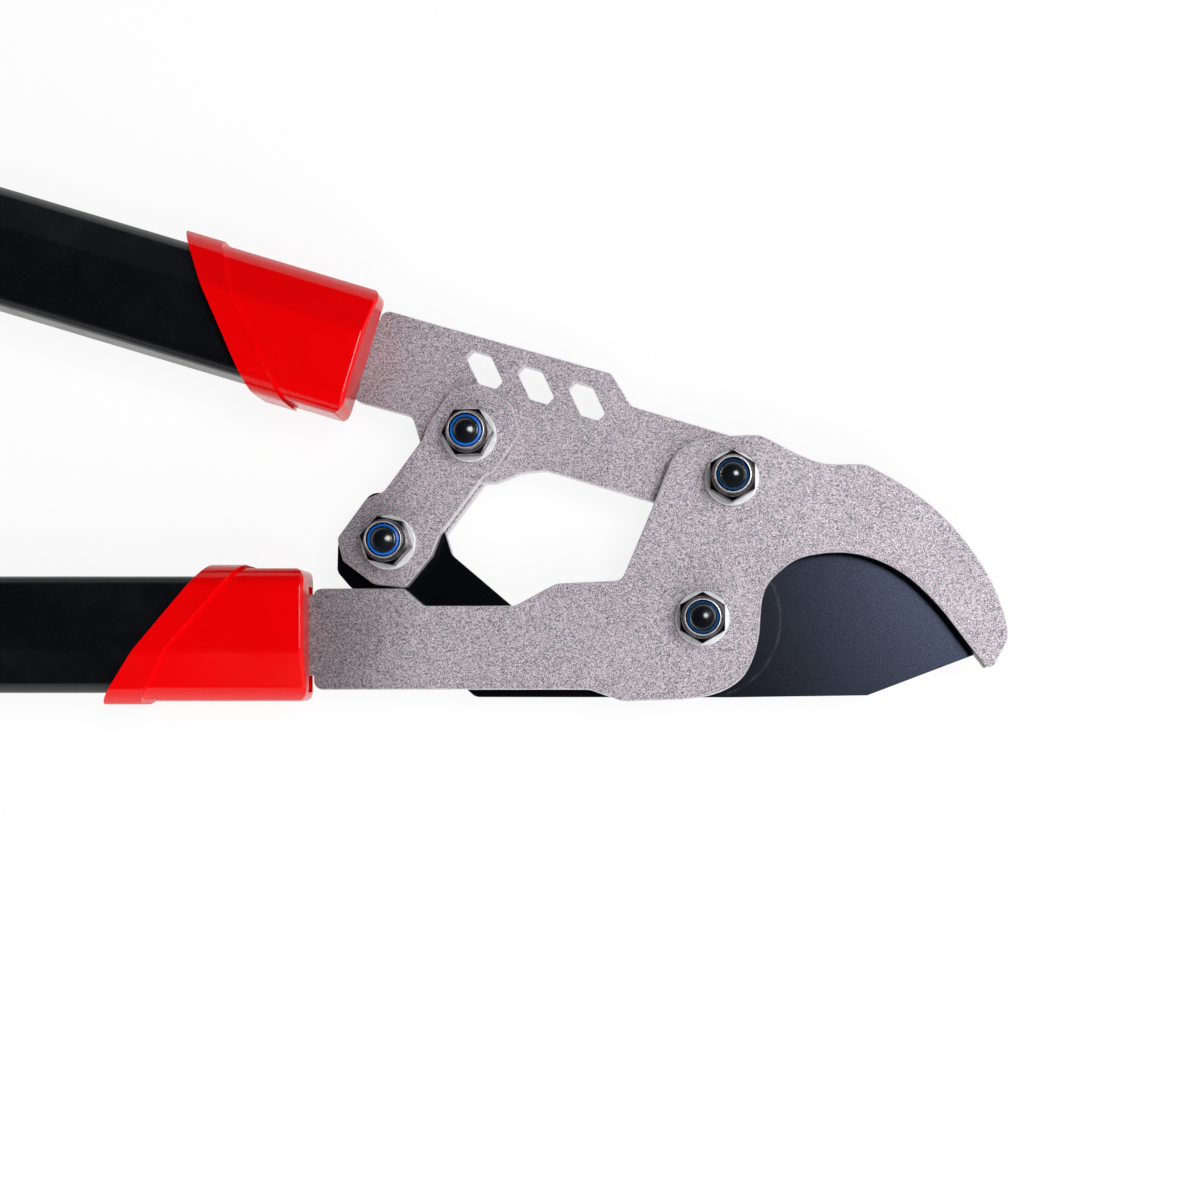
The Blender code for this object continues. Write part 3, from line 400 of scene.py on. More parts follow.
class Nodes:
    """The node tree of a material or a world, with the few kinds of node that are used."""

    def __init__(self, name: str, store: Optional[bpy.types.bpy_prop_collection] = None) -> None:
        """Start the tree.

        Args:
            name: the name of its owner.
            store: where the owner is made, which is with the materials without it.
        """
        self.owner = (bpy.data.materials if store is None else store).new(name)
        self.owner.use_nodes = True
        self.tree = self.owner.node_tree

    @cached_property
    def place(self) -> Socket:
        """The object's own coordinates."""
        return self.add("TexCoord").outputs["Object"]

    def add(self, kind: str, **settings: object) -> bpy.types.Node:
        """A new node.

        Args:
            kind: the node's type, without its prefix.
            settings: its settings.

        Returns:
            The node.
        """
        node = self.tree.nodes.new("ShaderNode" + kind)
        for setting, value in settings.items():
            setattr(node, setting, value)
        return node

    def link(self, value: object, socket: Socket) -> None:
        """Feed a socket from another socket, or set it to a value.

        Args:
            value: an output socket, a number, a vector or a colour.
            socket: the input socket.
        """
        if isinstance(value, Socket):
            self.tree.links.new(value, socket)
        elif isinstance(value, tuple) and len(value) == 3 and socket.type == "RGBA":
            socket.default_value = (*value, 1.0)
        else:
            socket.default_value = value

    def feed(self, node: bpy.types.Node, **values: object) -> bpy.types.Node:
        """Feed a node's inputs.

        Args:
            node: the node.
            values: what each input gets, by its name with _ for a space.

        Returns:
            The node.
        """
        for name, value in values.items():
            self.link(value, node.inputs[name.replace("_", " ")])
        return node

    def noise(
        self, scale: float, detail: float = 2.0, roughness: float = 0.5, place: Optional[Socket] = None
    ) -> Socket:
        """Noise at a number of waves per metre.

        Args:
            scale: waves in a metre.
            detail: octaves.
            roughness: how strong the finer octaves are.
            place: the coordinates, which are the object's own without it.

        Returns:
            The noise value.
        """
        node = self.add("TexNoise")
        self.feed(node, Vector=place or self.place, Scale=scale, Detail=detail, Roughness=roughness)
        return node.outputs["Fac"]

    def cells(self, scale: float, feature: str = "F1") -> bpy.types.bpy_prop_collection:
        """Outputs of a pattern of cells: the Distance in each, and its random Color.

        Args:
            scale: cells in a metre.
            feature: which distance.

        Returns:
            The outputs by name.
        """
        return self.feed(self.add("TexVoronoi", feature=feature), Vector=self.place, Scale=scale).outputs

    def moved(self, turn: float = 0.0, stretch: Colour = (1.0, 1.0, 1.0)) -> Socket:
        """Object coordinates, counted from the blade pivot.

        Args:
            turn: turn about Z, in radians.
            stretch: scale along each axis.

        Returns:
            The coordinates.
        """
        shift = self.add("VectorMath", operation="SUBTRACT")
        self.link(self.place, shift.inputs[0])
        self.link(ORIGIN * MM, shift.inputs[1])
        node = self.feed(self.add("Mapping"), Vector=shift.outputs[0], Rotation=(0.0, 0.0, turn), Scale=stretch)
        return node.outputs["Vector"]

    def parted(self, kind: str, value: Socket) -> bpy.types.bpy_prop_collection:
        """The parts of a vector or of a colour.

        Args:
            kind: XYZ for a vector, Color for a colour.
            value: the vector or colour.

        Returns:
            The parts.
        """
        node = self.add("Separate" + kind)
        self.link(value, node.inputs[0])
        return node.outputs

    def maths(self, operation: str, *values: object) -> Socket:
        """A sum on one or two values.

        Args:
            operation: the node's operation.
            values: sockets or numbers.

        Returns:
            The result.
        """
        node = self.add("Math", operation=operation)
        for value, socket in zip(values, node.inputs):
            self.link(value, socket)
        return node.outputs["Value"]

    def times(self, first: object, second: object) -> Socket:
        """Two values multiplied."""
        return self.maths("MULTIPLY", first, second)

    def plus(self, first: object, second: object) -> Socket:
        """Two values added."""
        return self.maths("ADD", first, second)

    def span(self, value: Socket, low: float, high: float, to_low: float = 0.0, to_high: float = 1.0) -> Socket:
        """A value brought smoothly from one range to another.

        Args:
            value: the value.
            low: where the range starts.
            high: where it ends.
            to_low: the result at the start.
            to_high: the result at the end.

        Returns:
            The result.
        """
        node = self.add("MapRange", interpolation_type="SMOOTHSTEP")
        for number, socket in zip((value, low, high, to_low, to_high), node.inputs):
            self.link(number, socket)
        return node.outputs["Result"]

    def blend(self, share: object, first: object, second: object, kind: str = "MIX") -> Socket:
        """Two colours mixed.

        Args:
            share: how much of the second.
            first: a colour.
            second: a colour.
            kind: the way they are mixed.

        Returns:
            The colour.
        """
        node = self.feed(self.add("Mix", data_type="RGBA", blend_type=kind), Factor=share)
        self.link(first, node.inputs[6])
        self.link(second, node.inputs[7])
        return node.outputs[2]

    def bump(self, height: Socket, distance: float, strength: float) -> Socket:
        """A surface relief.

        Args:
            height: the relief's height.
            distance: the depth that a height of 1 stands for, in metres.
            strength: how strongly it shows.

        Returns:
            The normal.
        """
        return self.feed(self.add("Bump"), Strength=strength, Distance=distance, Height=height).outputs["Normal"]

    def finish(self, **sockets: object) -> Material:
        """Feed the shader's inputs, by name with _ for a space, and return the material."""
        self.feed(self.tree.nodes["Principled BSDF"], **sockets)
        return self.owner


@dataclass(frozen=True)
class HammeredCoat:
    """Grey hammer-finish coat: pale and dark metal flecks in a slightly uneven, faintly violet film.

    Its colour is darkened toward the collars as painted shade, and its lighter copy for the rims is a painted
    highlight.
    """

    name: str = "hammered_grey"
    light: Colour = (0.745, 0.675, 0.742)
    dark: Colour = (0.06, 0.043, 0.062)
    grain: float = 4700.0
    relief: float = 0.00005
    fleck_share: float = 0.62
    film_share: float = 0.76
    cloud_share: float = 0.1
    pale_from: float = 0.39
    pale_to: float = 1.07
    collar_shade_from: float = -0.108
    collar_shade_to: float = -0.07
    collar_shade: float = 0.45
    metallic: float = 0.25
    coarse: float = 0.62
    smooth: float = 0.4

    def make(self) -> Material:
        """Make the material.

        Returns:
            The material.
        """
        nodes = Nodes(self.name)
        fleck = nodes.cells(self.grain)["Color"]
        chance = nodes.parted("Color", fleck)
        film = nodes.noise(self.grain * 0.7, 2.0, 0.6)
        height = nodes.plus(nodes.times(chance[0], self.fleck_share), nodes.times(film, self.film_share))
        cloud = nodes.times(nodes.noise(60.0, 3.0, 0.55), self.cloud_share)
        share = nodes.span(nodes.plus(height, cloud), self.pale_from, self.pale_to)
        colour = nodes.blend(0.08, nodes.blend(share, self.dark, self.light), fleck)
        # Painted shade: the coat's colour is darkened toward the collars.
        along = nodes.parted("XYZ", nodes.moved())["X"]
        collar_shade_reach = nodes.plus(along, nodes.times(nodes.noise(45.0), 0.012))
        collar_shading = nodes.span(collar_shade_reach, self.collar_shade_from, self.collar_shade_to, self.collar_shade, 1.0)
        return nodes.finish(
            Base_Color=nodes.blend(1.0, colour, collar_shading, "MULTIPLY"), Metallic=self.metallic,
            Roughness=nodes.span(chance[1], 0.0, 1.0, self.coarse, self.smooth),
            Normal=nodes.bump(height, self.relief, 0.7),
        )


@dataclass(frozen=True)
class BladeCoat:
    """Dark bonded coat of the blade, painted paler toward the tip as a painted sheen, with worn arcs round the pivot.
    """

    name: str = "blade_black"
    tail: Colour = (0.0113, 0.013, 0.018)
    flat: Colour = (0.028, 0.0343, 0.0546)
    worn: Colour = (0.07, 0.076, 0.09)
    sheen_from: float = -0.015
    sheen_to: float = 0.078
    worn_radius: float = 23.4
    worn_width: float = 0.7

    def make(self) -> Material:
        """Make the material.

        Returns:
            The material.
        """
        nodes = Nodes(self.name)
        # Painted sheen: the colour grows paler along X, from the tail towards the tip.
        along = nodes.plus(nodes.parted("XYZ", nodes.moved())["X"], nodes.times(nodes.noise(45.0, 3.0, 0.6), 0.01))
        colour = nodes.blend(nodes.span(along, self.sheen_from, self.sheen_to), self.tail, self.flat)
        reach = nodes.add("VectorMath", operation="LENGTH")
        nodes.link(nodes.moved(0.0, (1.0, 1.0, 0.0)), reach.inputs[0])
        off = nodes.maths("ABSOLUTE", nodes.maths("SUBTRACT", reach.outputs["Value"], self.worn_radius * MM))
        arc = nodes.times(
            nodes.span(off, 0.0, self.worn_width * MM, 1.0, 0.0), nodes.span(nodes.noise(160.0), 0.42, 0.62, 0.0, 0.5)
        )
        colour = nodes.blend(arc, colour, self.worn)
        fine = nodes.noise(2900.0, 3.0, 0.6)
        specks = nodes.blend(nodes.span(fine, 0.35, 0.65), (0.0, 0.0, 0.0), colour)
        return nodes.finish(
            Base_Color=nodes.blend(0.5, colour, specks), Metallic=0.95,
            Roughness=nodes.span(fine, 0.2, 0.8, 0.34, 0.29), Normal=nodes.bump(fine, 0.00002, 0.4),
        )


@dataclass(frozen=True)
class GroundSteel:
    """Bare ground steel of the cutting bevel, with grinding lines across it."""

    name: str = "ground_steel"
    light: Colour = (0.5, 0.51, 0.53)
    dark: Colour = (0.34, 0.35, 0.37)

    def make(self) -> Material:
        """Make the material.

        Returns:
            The material.
        """
        nodes = Nodes(self.name)
        lines = nodes.noise(900.0, 3.0, 0.6, nodes.moved(0.6, (4.0, 0.2, 1.0)))
        return nodes.finish(
            Base_Color=nodes.blend(lines, self.dark, self.light), Metallic=1.0,
            Roughness=nodes.span(lines, 0.2, 0.8, 0.3, 0.42), Normal=nodes.bump(lines, 0.00002, 0.6),
        )


@dataclass(frozen=True)
class PlatedSteel:
    """Turned or stamped steel with a thin plating."""

    name: str
    light: Colour
    dark: Colour
    rough_low: float
    rough_high: float
    metallic: float = 1.0
    relief: float = 0.00001

    def make(self) -> Material:
        """Make the material.

        Returns:
            The material.
        """
        nodes = Nodes(self.name)
        cloud = nodes.noise(420.0, 4.0, 0.62)
        return nodes.finish(
            Base_Color=nodes.blend(nodes.span(cloud, 0.35, 0.7), self.light, self.dark), Metallic=self.metallic,
            Roughness=nodes.span(cloud, 0.3, 0.7, self.rough_low, self.rough_high),
            Normal=nodes.bump(nodes.noise(3000.0, 2.0, 0.6), self.relief, 0.4),
        )


@dataclass(frozen=True)
class Moulded:
    """Moulded plastic or paint: an even colour with slight clouds, a faint orange peel and faint rubs."""

    name: str
    colour: Colour
    cloud: Colour
    roughness: float
    rubbed: float
    specular: float = 0.5
    peel_scale: float = 420.0
    peel: float = 0.00001
    speck: float = 0.0
    speck_colour: Colour = (0.16, 0.17, 0.19)

    def make(self) -> Material:
        """Make the material.

        Returns:
            The material.
        """
        nodes = Nodes(self.name)
        colour = nodes.blend(nodes.span(nodes.noise(35.0, 3.0, 0.6), 0.35, 0.75), self.colour, self.cloud)
        if self.speck > 0.0:
            speck = nodes.span(nodes.cells(1500.0)["Distance"], 0.16, 0.04, 0.0, self.speck)
            speck = nodes.times(speck, nodes.span(nodes.noise(700.0, 1.0), 0.45, 0.6))
            colour = nodes.blend(speck, colour, self.speck_colour)
        rubs = nodes.noise(90.0, 4.0, 0.7)
        return nodes.finish(
            Base_Color=colour, Roughness=nodes.span(rubs, 0.4, 0.72, self.roughness, self.rubbed),
            Specular_IOR_Level=self.specular, Normal=nodes.bump(nodes.noise(self.peel_scale), self.peel, 0.5),
        )


@dataclass(frozen=True)
class Rubber:
    """Soft black grip rubber with a fine pebbled skin."""

    name: str = "black_rubber"
    colour: Colour = (0.016, 0.016, 0.017)
    dusty: Colour = (0.028, 0.028, 0.029)
    pebble: float = 1300.0

    def make(self) -> Material:
        """Make the material.

        Returns:
            The material.
        """
        nodes = Nodes(self.name)
        cloud = nodes.noise(55.0, 3.0, 0.6)
        return nodes.finish(
            Base_Color=nodes.blend(nodes.span(cloud, 0.3, 0.75), self.colour, self.dusty), Specular_IOR_Level=0.35,
            Roughness=nodes.span(cloud, 0.3, 0.7, 0.62, 0.78),
            Normal=nodes.bump(nodes.cells(self.pebble, "SMOOTH_F1")["Distance"], 0.00012, 0.7),
        )


FINISHES = [
    HammeredCoat(),
    # A lighter, glossier copy of the coat for the plates' rims, as a painted highlight.
    HammeredCoat("hammered_rim_highlight", (0.95, 0.92, 0.95), (0.5, 0.46, 0.5), metallic=0.6, coarse=0.42, smooth=0.28),
    BladeCoat(),
    GroundSteel(),
    PlatedSteel("zinc", (0.84, 0.84, 0.87), (0.7, 0.71, 0.74), 0.4, 0.52, 0.35),
    # The nut's rolled rim is a lighter grey, and the thin strip on its top is a painted highlight.
    PlatedSteel("nut_rim_grey", (0.27, 0.25, 0.262), (0.2, 0.185, 0.195), 0.2, 0.3),
    PlatedSteel("nut_rim_highlight", (0.62, 0.6, 0.62), (0.5, 0.48, 0.5), 0.25, 0.35, 0.6),
    PlatedSteel("black_nickel", (0.07, 0.064, 0.07), (0.045, 0.041, 0.046), 0.2, 0.3),
    Moulded("black_oxide", (0.004, 0.0048, 0.0075), (0.006, 0.007, 0.011), 0.17, 0.25, 1.0, 900.0, 0.000006),
    Moulded("blue_nylon", (0.007, 0.14, 0.6), (0.005, 0.11, 0.5), 0.22, 0.34),
    Moulded("deep_blue_nylon", (0.002, 0.062, 0.21), (0.001, 0.045, 0.16), 0.2, 0.32),
    Moulded("red_plastic", (0.81, 0.0004, 0.0016), (0.77, 0.0003, 0.001), 0.16, 0.24, 0.36),
    Moulded("black_tube", (0.0026, 0.0028, 0.0044), (0.0038, 0.0042, 0.0064), 0.29, 0.37, 0.4, 900.0, 0.000012, 0.5),
    Moulded("drawn_tube", (0.0055, 0.006, 0.008), (0.009, 0.0095, 0.012), 0.3, 0.4, 0.4, 1200.0, 0.00001, 0.2),
    Moulded("grey_nylon", (0.12, 0.12, 0.125), (0.1, 0.1, 0.105), 0.45, 0.6),
    Rubber(),
]
PAINT = {finish.name: finish.make() for finish in FINISHES}


# Head plates


def curved(points: list[Point], steps: int = 3) -> list[Corner]:
    """Corners of radius zero along a smooth curve.

    Args:
        points: (x, y) points that the curve passes through.
        steps: straight parts between two points.

    Returns:
        The corners.
    """
    ends = [Vector(point) for point in (points[0], *points, points[-1])]
    made = []
    for before, start, end, after in zip(ends, ends[1:], ends[2:], ends[3:]):
        for step in range(steps):
            t = step / steps
            place = start * 2 + (end - before) * t + (before * 2 - start * 5 + end * 4 - after) * t ** 2
            place += (start * 3 - before - end * 3 + after) * t ** 3
            made.append((*(place / 2), 0.0))
    return made + [(*points[-1], 0.0)]


@dataclass
class Plate:
    """A stamped plate: an outline with rounded rims, and its holes."""

    node: str
    body: str
    low: float
    high: float
    corners: list[Corner]
    drilled: list[Corner]
    slot: str = "hammered_grey"
    edge: float = 0.5
    rim_steps: int = 4
    rim_normal: float = 0.85
    hole_round: float = 0.995
    cut_past: float = 3.0

    def round_rim(self, piece: Piece, facing: float) -> None:
        """Round the rim of one flat side.

        Args:
            piece: the plate before it is drilled.
            facing: 1 for the front side, -1 for the rear one.
        """
        pick(piece, Pick.FACES, lambda centre, normal: normal.z * facing > 0.999)
        bpy.ops.transform.translate(value=(0.0, 0.0, -facing * self.edge))
        inset_picked(*((self.edge * inward, self.edge * out) for inward, out in quarter_steps(self.rim_steps)))

    def shape(self, piece: Piece) -> None:
        """Give the plate what its outline alone does not; a plain plate has nothing more."""

    def cutters(self) -> list[Piece]:
        """Solids of the holes.

        Returns:
            The solids.
        """
        square = ((-1, -1), (1, -1), (1, 1), (-1, 1))
        return [
            self.cutter([(x + dx * r, y + dy * r, self.hole_round * r) for dx, dy in square])
            for x, y, r in self.drilled
        ]

    def cutter(self, corners: list[Corner]) -> Piece:
        """Solid of one hole from its outline."""
        return prism("cutter", corners, self.low - self.cut_past, self.high + self.cut_past, 12)

    def dress(self, piece: Piece) -> list[str]:
        """Mark the faces of the flats, and of the rims, whose lighter copy of the coat is a painted highlight.

        Args:
            piece: the plate.

        Returns:
            Names of the two finishes.
        """
        # The rims get the lighter copy of the coat, as a painted highlight.
        for face in piece.data.polygons:
            face.material_index = int(abs(face.normal.z) < self.rim_normal)
        return [self.slot, "hammered_rim_highlight"]

    def build(self) -> None:
        """Cut out the plate, round its rims, drill it and paint it."""
        piece = prism(self.node + "_cut", self.corners, self.low, self.high)
        self.shape(piece)
        self.round_rim(piece, 1.0)
        self.round_rim(piece, -1.0)
        combine(piece, "DIFFERENCE", *self.cutters())
        soften(piece, 0.8 * self.edge, 3, 40.0)
        settle(piece, Matrix(), self.body, self.slot, self.dress(piece), self.node)


HANDLE_PIVOT = (8.7, 41.1)
BLADE_PIVOT = (0.0, 0.0)
TAIL_PIVOT = (-92.2, 22.4)
TANG_PIVOT = (-68.4, 54.0)
BORE_R = 4.2
RIVET_BORE_R = 2.3


@dataclass
class Hook(Plate):
    """The hooked jaw's plate, with the wall of its mouth painted dark as painted shade."""

    mouth_centre: Point = (45.0, -12.0)
    mouth_from: float = 18.0
    wall_normal: float = 0.7

    def dress(self, piece: Piece) -> list[str]:
        """Mark the faces as on any plate, and those of the mouth's wall, painted dark as painted shade.

        Args:
            piece: the plate.

        Returns:
            Names of the three finishes.
        """
        paints = super().dress(piece)
        # Painted shade: the mouth's inner wall gets the dark tube finish.
        for face in piece.data.polygons:
            inward = Vector((*self.mouth_centre, face.center.z)) - face.center
            is_wall = face.center.x > self.mouth_from and abs(face.normal.z) < self.wall_normal
            if is_wall and face.normal.dot(inward) > 0.0:
                face.material_index = len(paints)
        return paints + ["black_tube"]


def hook_plate() -> Plate:
    """The hooked jaw with its arm, of one plate.

    Returns:
        The plate.
    """
    back = [
        (-14.1, 34.2), (-10.5, 43.4), (-8.2, 47.9), (-4.1, 51.3), (1.9, 53.1), (8.6, 53.9), (15.5, 54.1),
        (19.0, 53.2), (28.6, 48.3), (36.4, 45.7), (47.0, 45.5), (51.1, 44.0), (61.3, 38.0), (71.9, 29.3),
        (80.9, 18.3), (86.6, 8.1), (89.6, -1.0), (90.0, -5.4), (89.0, -8.2), (85.8, -14.0),
    ]
    mouth = [
        (83.5, -14.4), (80.6, -10.6), (76.0, -4.6), (69.4, 3.8), (61.3, 11.6), (53.1, 16.5), (44.9, 19.0),
        (36.8, 19.2), (28.6, 17.6), (22.9, 13.7), (19.5, 10.0), (17.8, 5.9), (17.2, 0.6), (16.8, -4.7),
        (15.4, -10.7), (12.4, -16.7), (7.9, -20.4), (1.9, -22.7), (-5.6, -23.8),
    ]
    arm_top = [(-87.8, 8.9, 2.0), (-82.0, 3.8, 2.0), (-55.2, 3.8, 3.0), (-43.0, 10.4, 6.0), (-23.7, 11.3, 3.0)]
    under = [(-23.5, -24.4, 5.0), (-33.2, -20.9, 5.0), (-114.3, -20.9, 2.6)]
    inside = [
        (-114.3, -16.8, 0.0), (-169.7, -16.8, 2.0), (-169.7, 7.2, 2.0), (-114.3, 7.2, 0.0), (-114.3, 8.9, 2.6),
    ]
    corners = arm_top + curved(back) + curved(mouth) + under + inside
    rivets = [(-133.7, -4.8, RIVET_BORE_R), (-157.7, -4.8, RIVET_BORE_R)]
    holes = [(*HANDLE_PIVOT, BORE_R), (*BLADE_PIVOT, BORE_R), *rivets]
    return Hook("hook_plate", "lower_handle", 2.3, 7.3, corners, holes, edge=0.55)


def link_plate(node: str, low: float) -> Plate:
    """One of the two plates that join the blade's tail to the upper tang.

    Args:
        node: its CAD node.
        low: its lower side.

    Returns:
        The plate.
    """
    tail_end = [
        (11.0, -10.3, 3.0), (4.6, -12.2, 2.0), (-7.8, -11.8, 2.0), (-12.6, -3.6, 3.0), (-12.6, 7.8, 1.5),
        (-8.3, 13.2, 2.0), (6.2, 13.4, 2.0), (11.2, 10.5, 3.0),
    ]
    tang_end = [
        (-9.0, 10.7, 3.0), (-5.0, 12.1, 2.0), (7.8, 12.8, 4.0), (13.8, 7.4, 3.0), (14.8, -4.2, 2.0),
        (9.6, -11.4, 2.0), (-4.4, -11.8, 2.0), (-7.6, -10.3, 2.0),
    ]
    tail = Vector(TAIL_PIVOT)
    reach = Vector(TANG_PIVOT) - tail
    along = reach.normalized()
    across = Vector((-along.y, along.x))
    local = tail_end + [(x + reach.length, y, r) for x, y, r in tang_end]
    corners = [(*(tail + along * x + across * y), r) for x, y, r in local]
    return Plate(node, "link", low, low + 4.0, corners, [(*TAIL_PIVOT, BORE_R), (*TANG_PIVOT, BORE_R)])


@dataclass
class Tang(Plate):
    """The upper handle's plate, with its long holes and its slot."""

    hole_centres: tuple[Point, ...] = ((-64.8, 74.5), (-49.5, 69.9), (-34.3, 65.1))
    hole_half: tuple[Corner, ...] = ((-5.0, 4.6, 0.6), (0.4, 4.6, 1.0), (6.35, -2.0, 0.8))
    tilt: float = math.radians(-16.6)
    slot_from: Point = (-69.5, 53.5)
    slot_to: Point = (-62.4, 51.6)
    slot_r: float = 5.4

    def cutters(self) -> list[Piece]:
        """Solids of the round holes, the long holes and the slot.

        Returns:
            The solids.
        """
        made = super().cutters()
        turn = Matrix.Rotation(self.tilt, 2)
        full = [*self.hole_half, *((-x, -y, r) for x, y, r in self.hole_half)]
        for centre in self.hole_centres:
            made.append(self.cutter([(*(Vector(centre) + turn @ Vector((x, y))), r) for x, y, r in full]))
        back, front = Vector(self.slot_from), Vector(self.slot_to)
        ahead = (front - back).normalized() * self.slot_r
        aside = Vector((-ahead.y, ahead.x))
        ends = (back - ahead - aside, front + ahead - aside, front + ahead + aside, back - ahead + aside)
        return made + [self.cutter([(*end, self.hole_round * self.slot_r) for end in ends])]


def upper_tang() -> Plate:
    """The plate of the upper handle.

    Returns:
        The plate.
    """
    corners = [
        (-94.9, 92.4, 2.6), (-26.9, 73.3, 2.0), (-21.0, 63.6, 3.0), (22.1, 50.8, 13.0), (22.1, 24.1, 12.6),
        (-46.5, 44.5, 8.0), (-54.0, 43.6, 4.0), (-61.3, 40.6, 4.0), (-76.5, 40.6, 9.0), (-83.6, 51.5, 6.0),
        (-86.3, 60.6, 3.0), (-103.7, 65.3, 2.6), (-103.36, 66.36, 0.0), (-154.58, 81.63, 2.0),
        (-147.72, 104.63, 2.0), (-95.94, 89.19, 0.0),
    ]
    holes = [(*HANDLE_PIVOT, BORE_R), (-116.65, 82.84, RIVET_BORE_R), (-139.65, 89.7, RIVET_BORE_R)]
    return Tang("upper_tang", "upper_handle", -2.0, 2.0, corners, holes)


@dataclass
class Blade(Plate):
    """The moving blade, ground thin behind its cutting edge."""

    ground_w: float = 9.0
    ground_from: float = 30.0
    ground_above: float = -20.0
    ground_toward: Point = (30.0, -22.0)
    tip: Point = (83.0, -9.8)

    def is_ground(self, place: Vector) -> bool:
        """Whether a point lies along the cutting edge."""
        return place.x > self.ground_from and place.y > self.ground_above

    def shape(self, piece: Piece) -> None:
        """Draw the rear side's edge inwards along the cutting edge.

        Args:
            piece: the blade.
        """
        for vert in [vert.co.copy() for vert in piece.data.vertices if vert.co.z < 0.0 and self.is_ground(vert.co)]:
            from_ends = ((vert.xy - Vector(self.tip)).length, vert.x - self.ground_from)
            share = min(1.0, *(reach / self.ground_w for reach in from_ends))
            inward = (Vector(self.ground_toward) - vert.xy).normalized() * self.ground_w * share / 2
            pick(piece, Pick.VERTS, lambda place, vert=vert: (place - vert).length < 1e-3)
            shift_picked(Vector((*inward, 0.0)))

    def dress(self, piece: Piece) -> list[str]:
        """Mark the coated faces, and the ground ones and the cut edge, which are bare steel.

        Args:
            piece: the blade.

        Returns:
            Names of the two finishes.
        """
        for face in piece.data.polygons:
            ground = self.is_ground(face.center) and -0.97 < face.normal.z < -0.05 and face.area > 0.5
            face.material_index = int(ground or abs(face.normal.z) < 0.5)
        return [self.slot, "ground_steel"]


def blade() -> Plate:
    """The moving blade with its long tail.

    Returns:
        The plate.
    """
    corners = [
        (49.3, -22.6, 0.8), (8.0, -23.2, 0.0), (-67.4, -23.1, 3.0), (-105.0, 10.0, 3.0), (-108.6, 14.2, 3.0),
        (-108.4, 22.6, 4.0), (-98.6, 38.0, 4.0), (-84.0, 36.5, 8.0), (-76.6, 26.2, 3.0), (-74.4, 19.2, 3.0),
        (-53.5, 1.4, 8.0), (-27.5, 1.4, 8.0), (-20.0, 16.0, 10.0), (2.0, 23.8, 14.0), (18.0, 19.6, 12.0),
        (28.5, 22.9, 10.0), (38.4, 25.2, 14.0), (54.0, 20.6, 30.0), (68.8, 8.8, 40.0), (83.0, -9.8, 0.5),
    ]
    holes = [(*BLADE_PIVOT, BORE_R), (*TAIL_PIVOT, BORE_R)]
    return Blade("blade", "blade", -2.0, 2.0, corners, holes, "blade_black", 0.2)


@dataclass
class Head:
    """The plates of the jaw and the linkage."""

    plates: list[Plate] = field(default_factory=lambda: [
        hook_plate(), blade(), upper_tang(), link_plate("front_link", 2.3), link_plate("rear_link", -6.3),
    ])

    def build(self) -> None:
        """Build every plate."""
        for plate in self.plates:
            plate.build()


# Bolted pivots


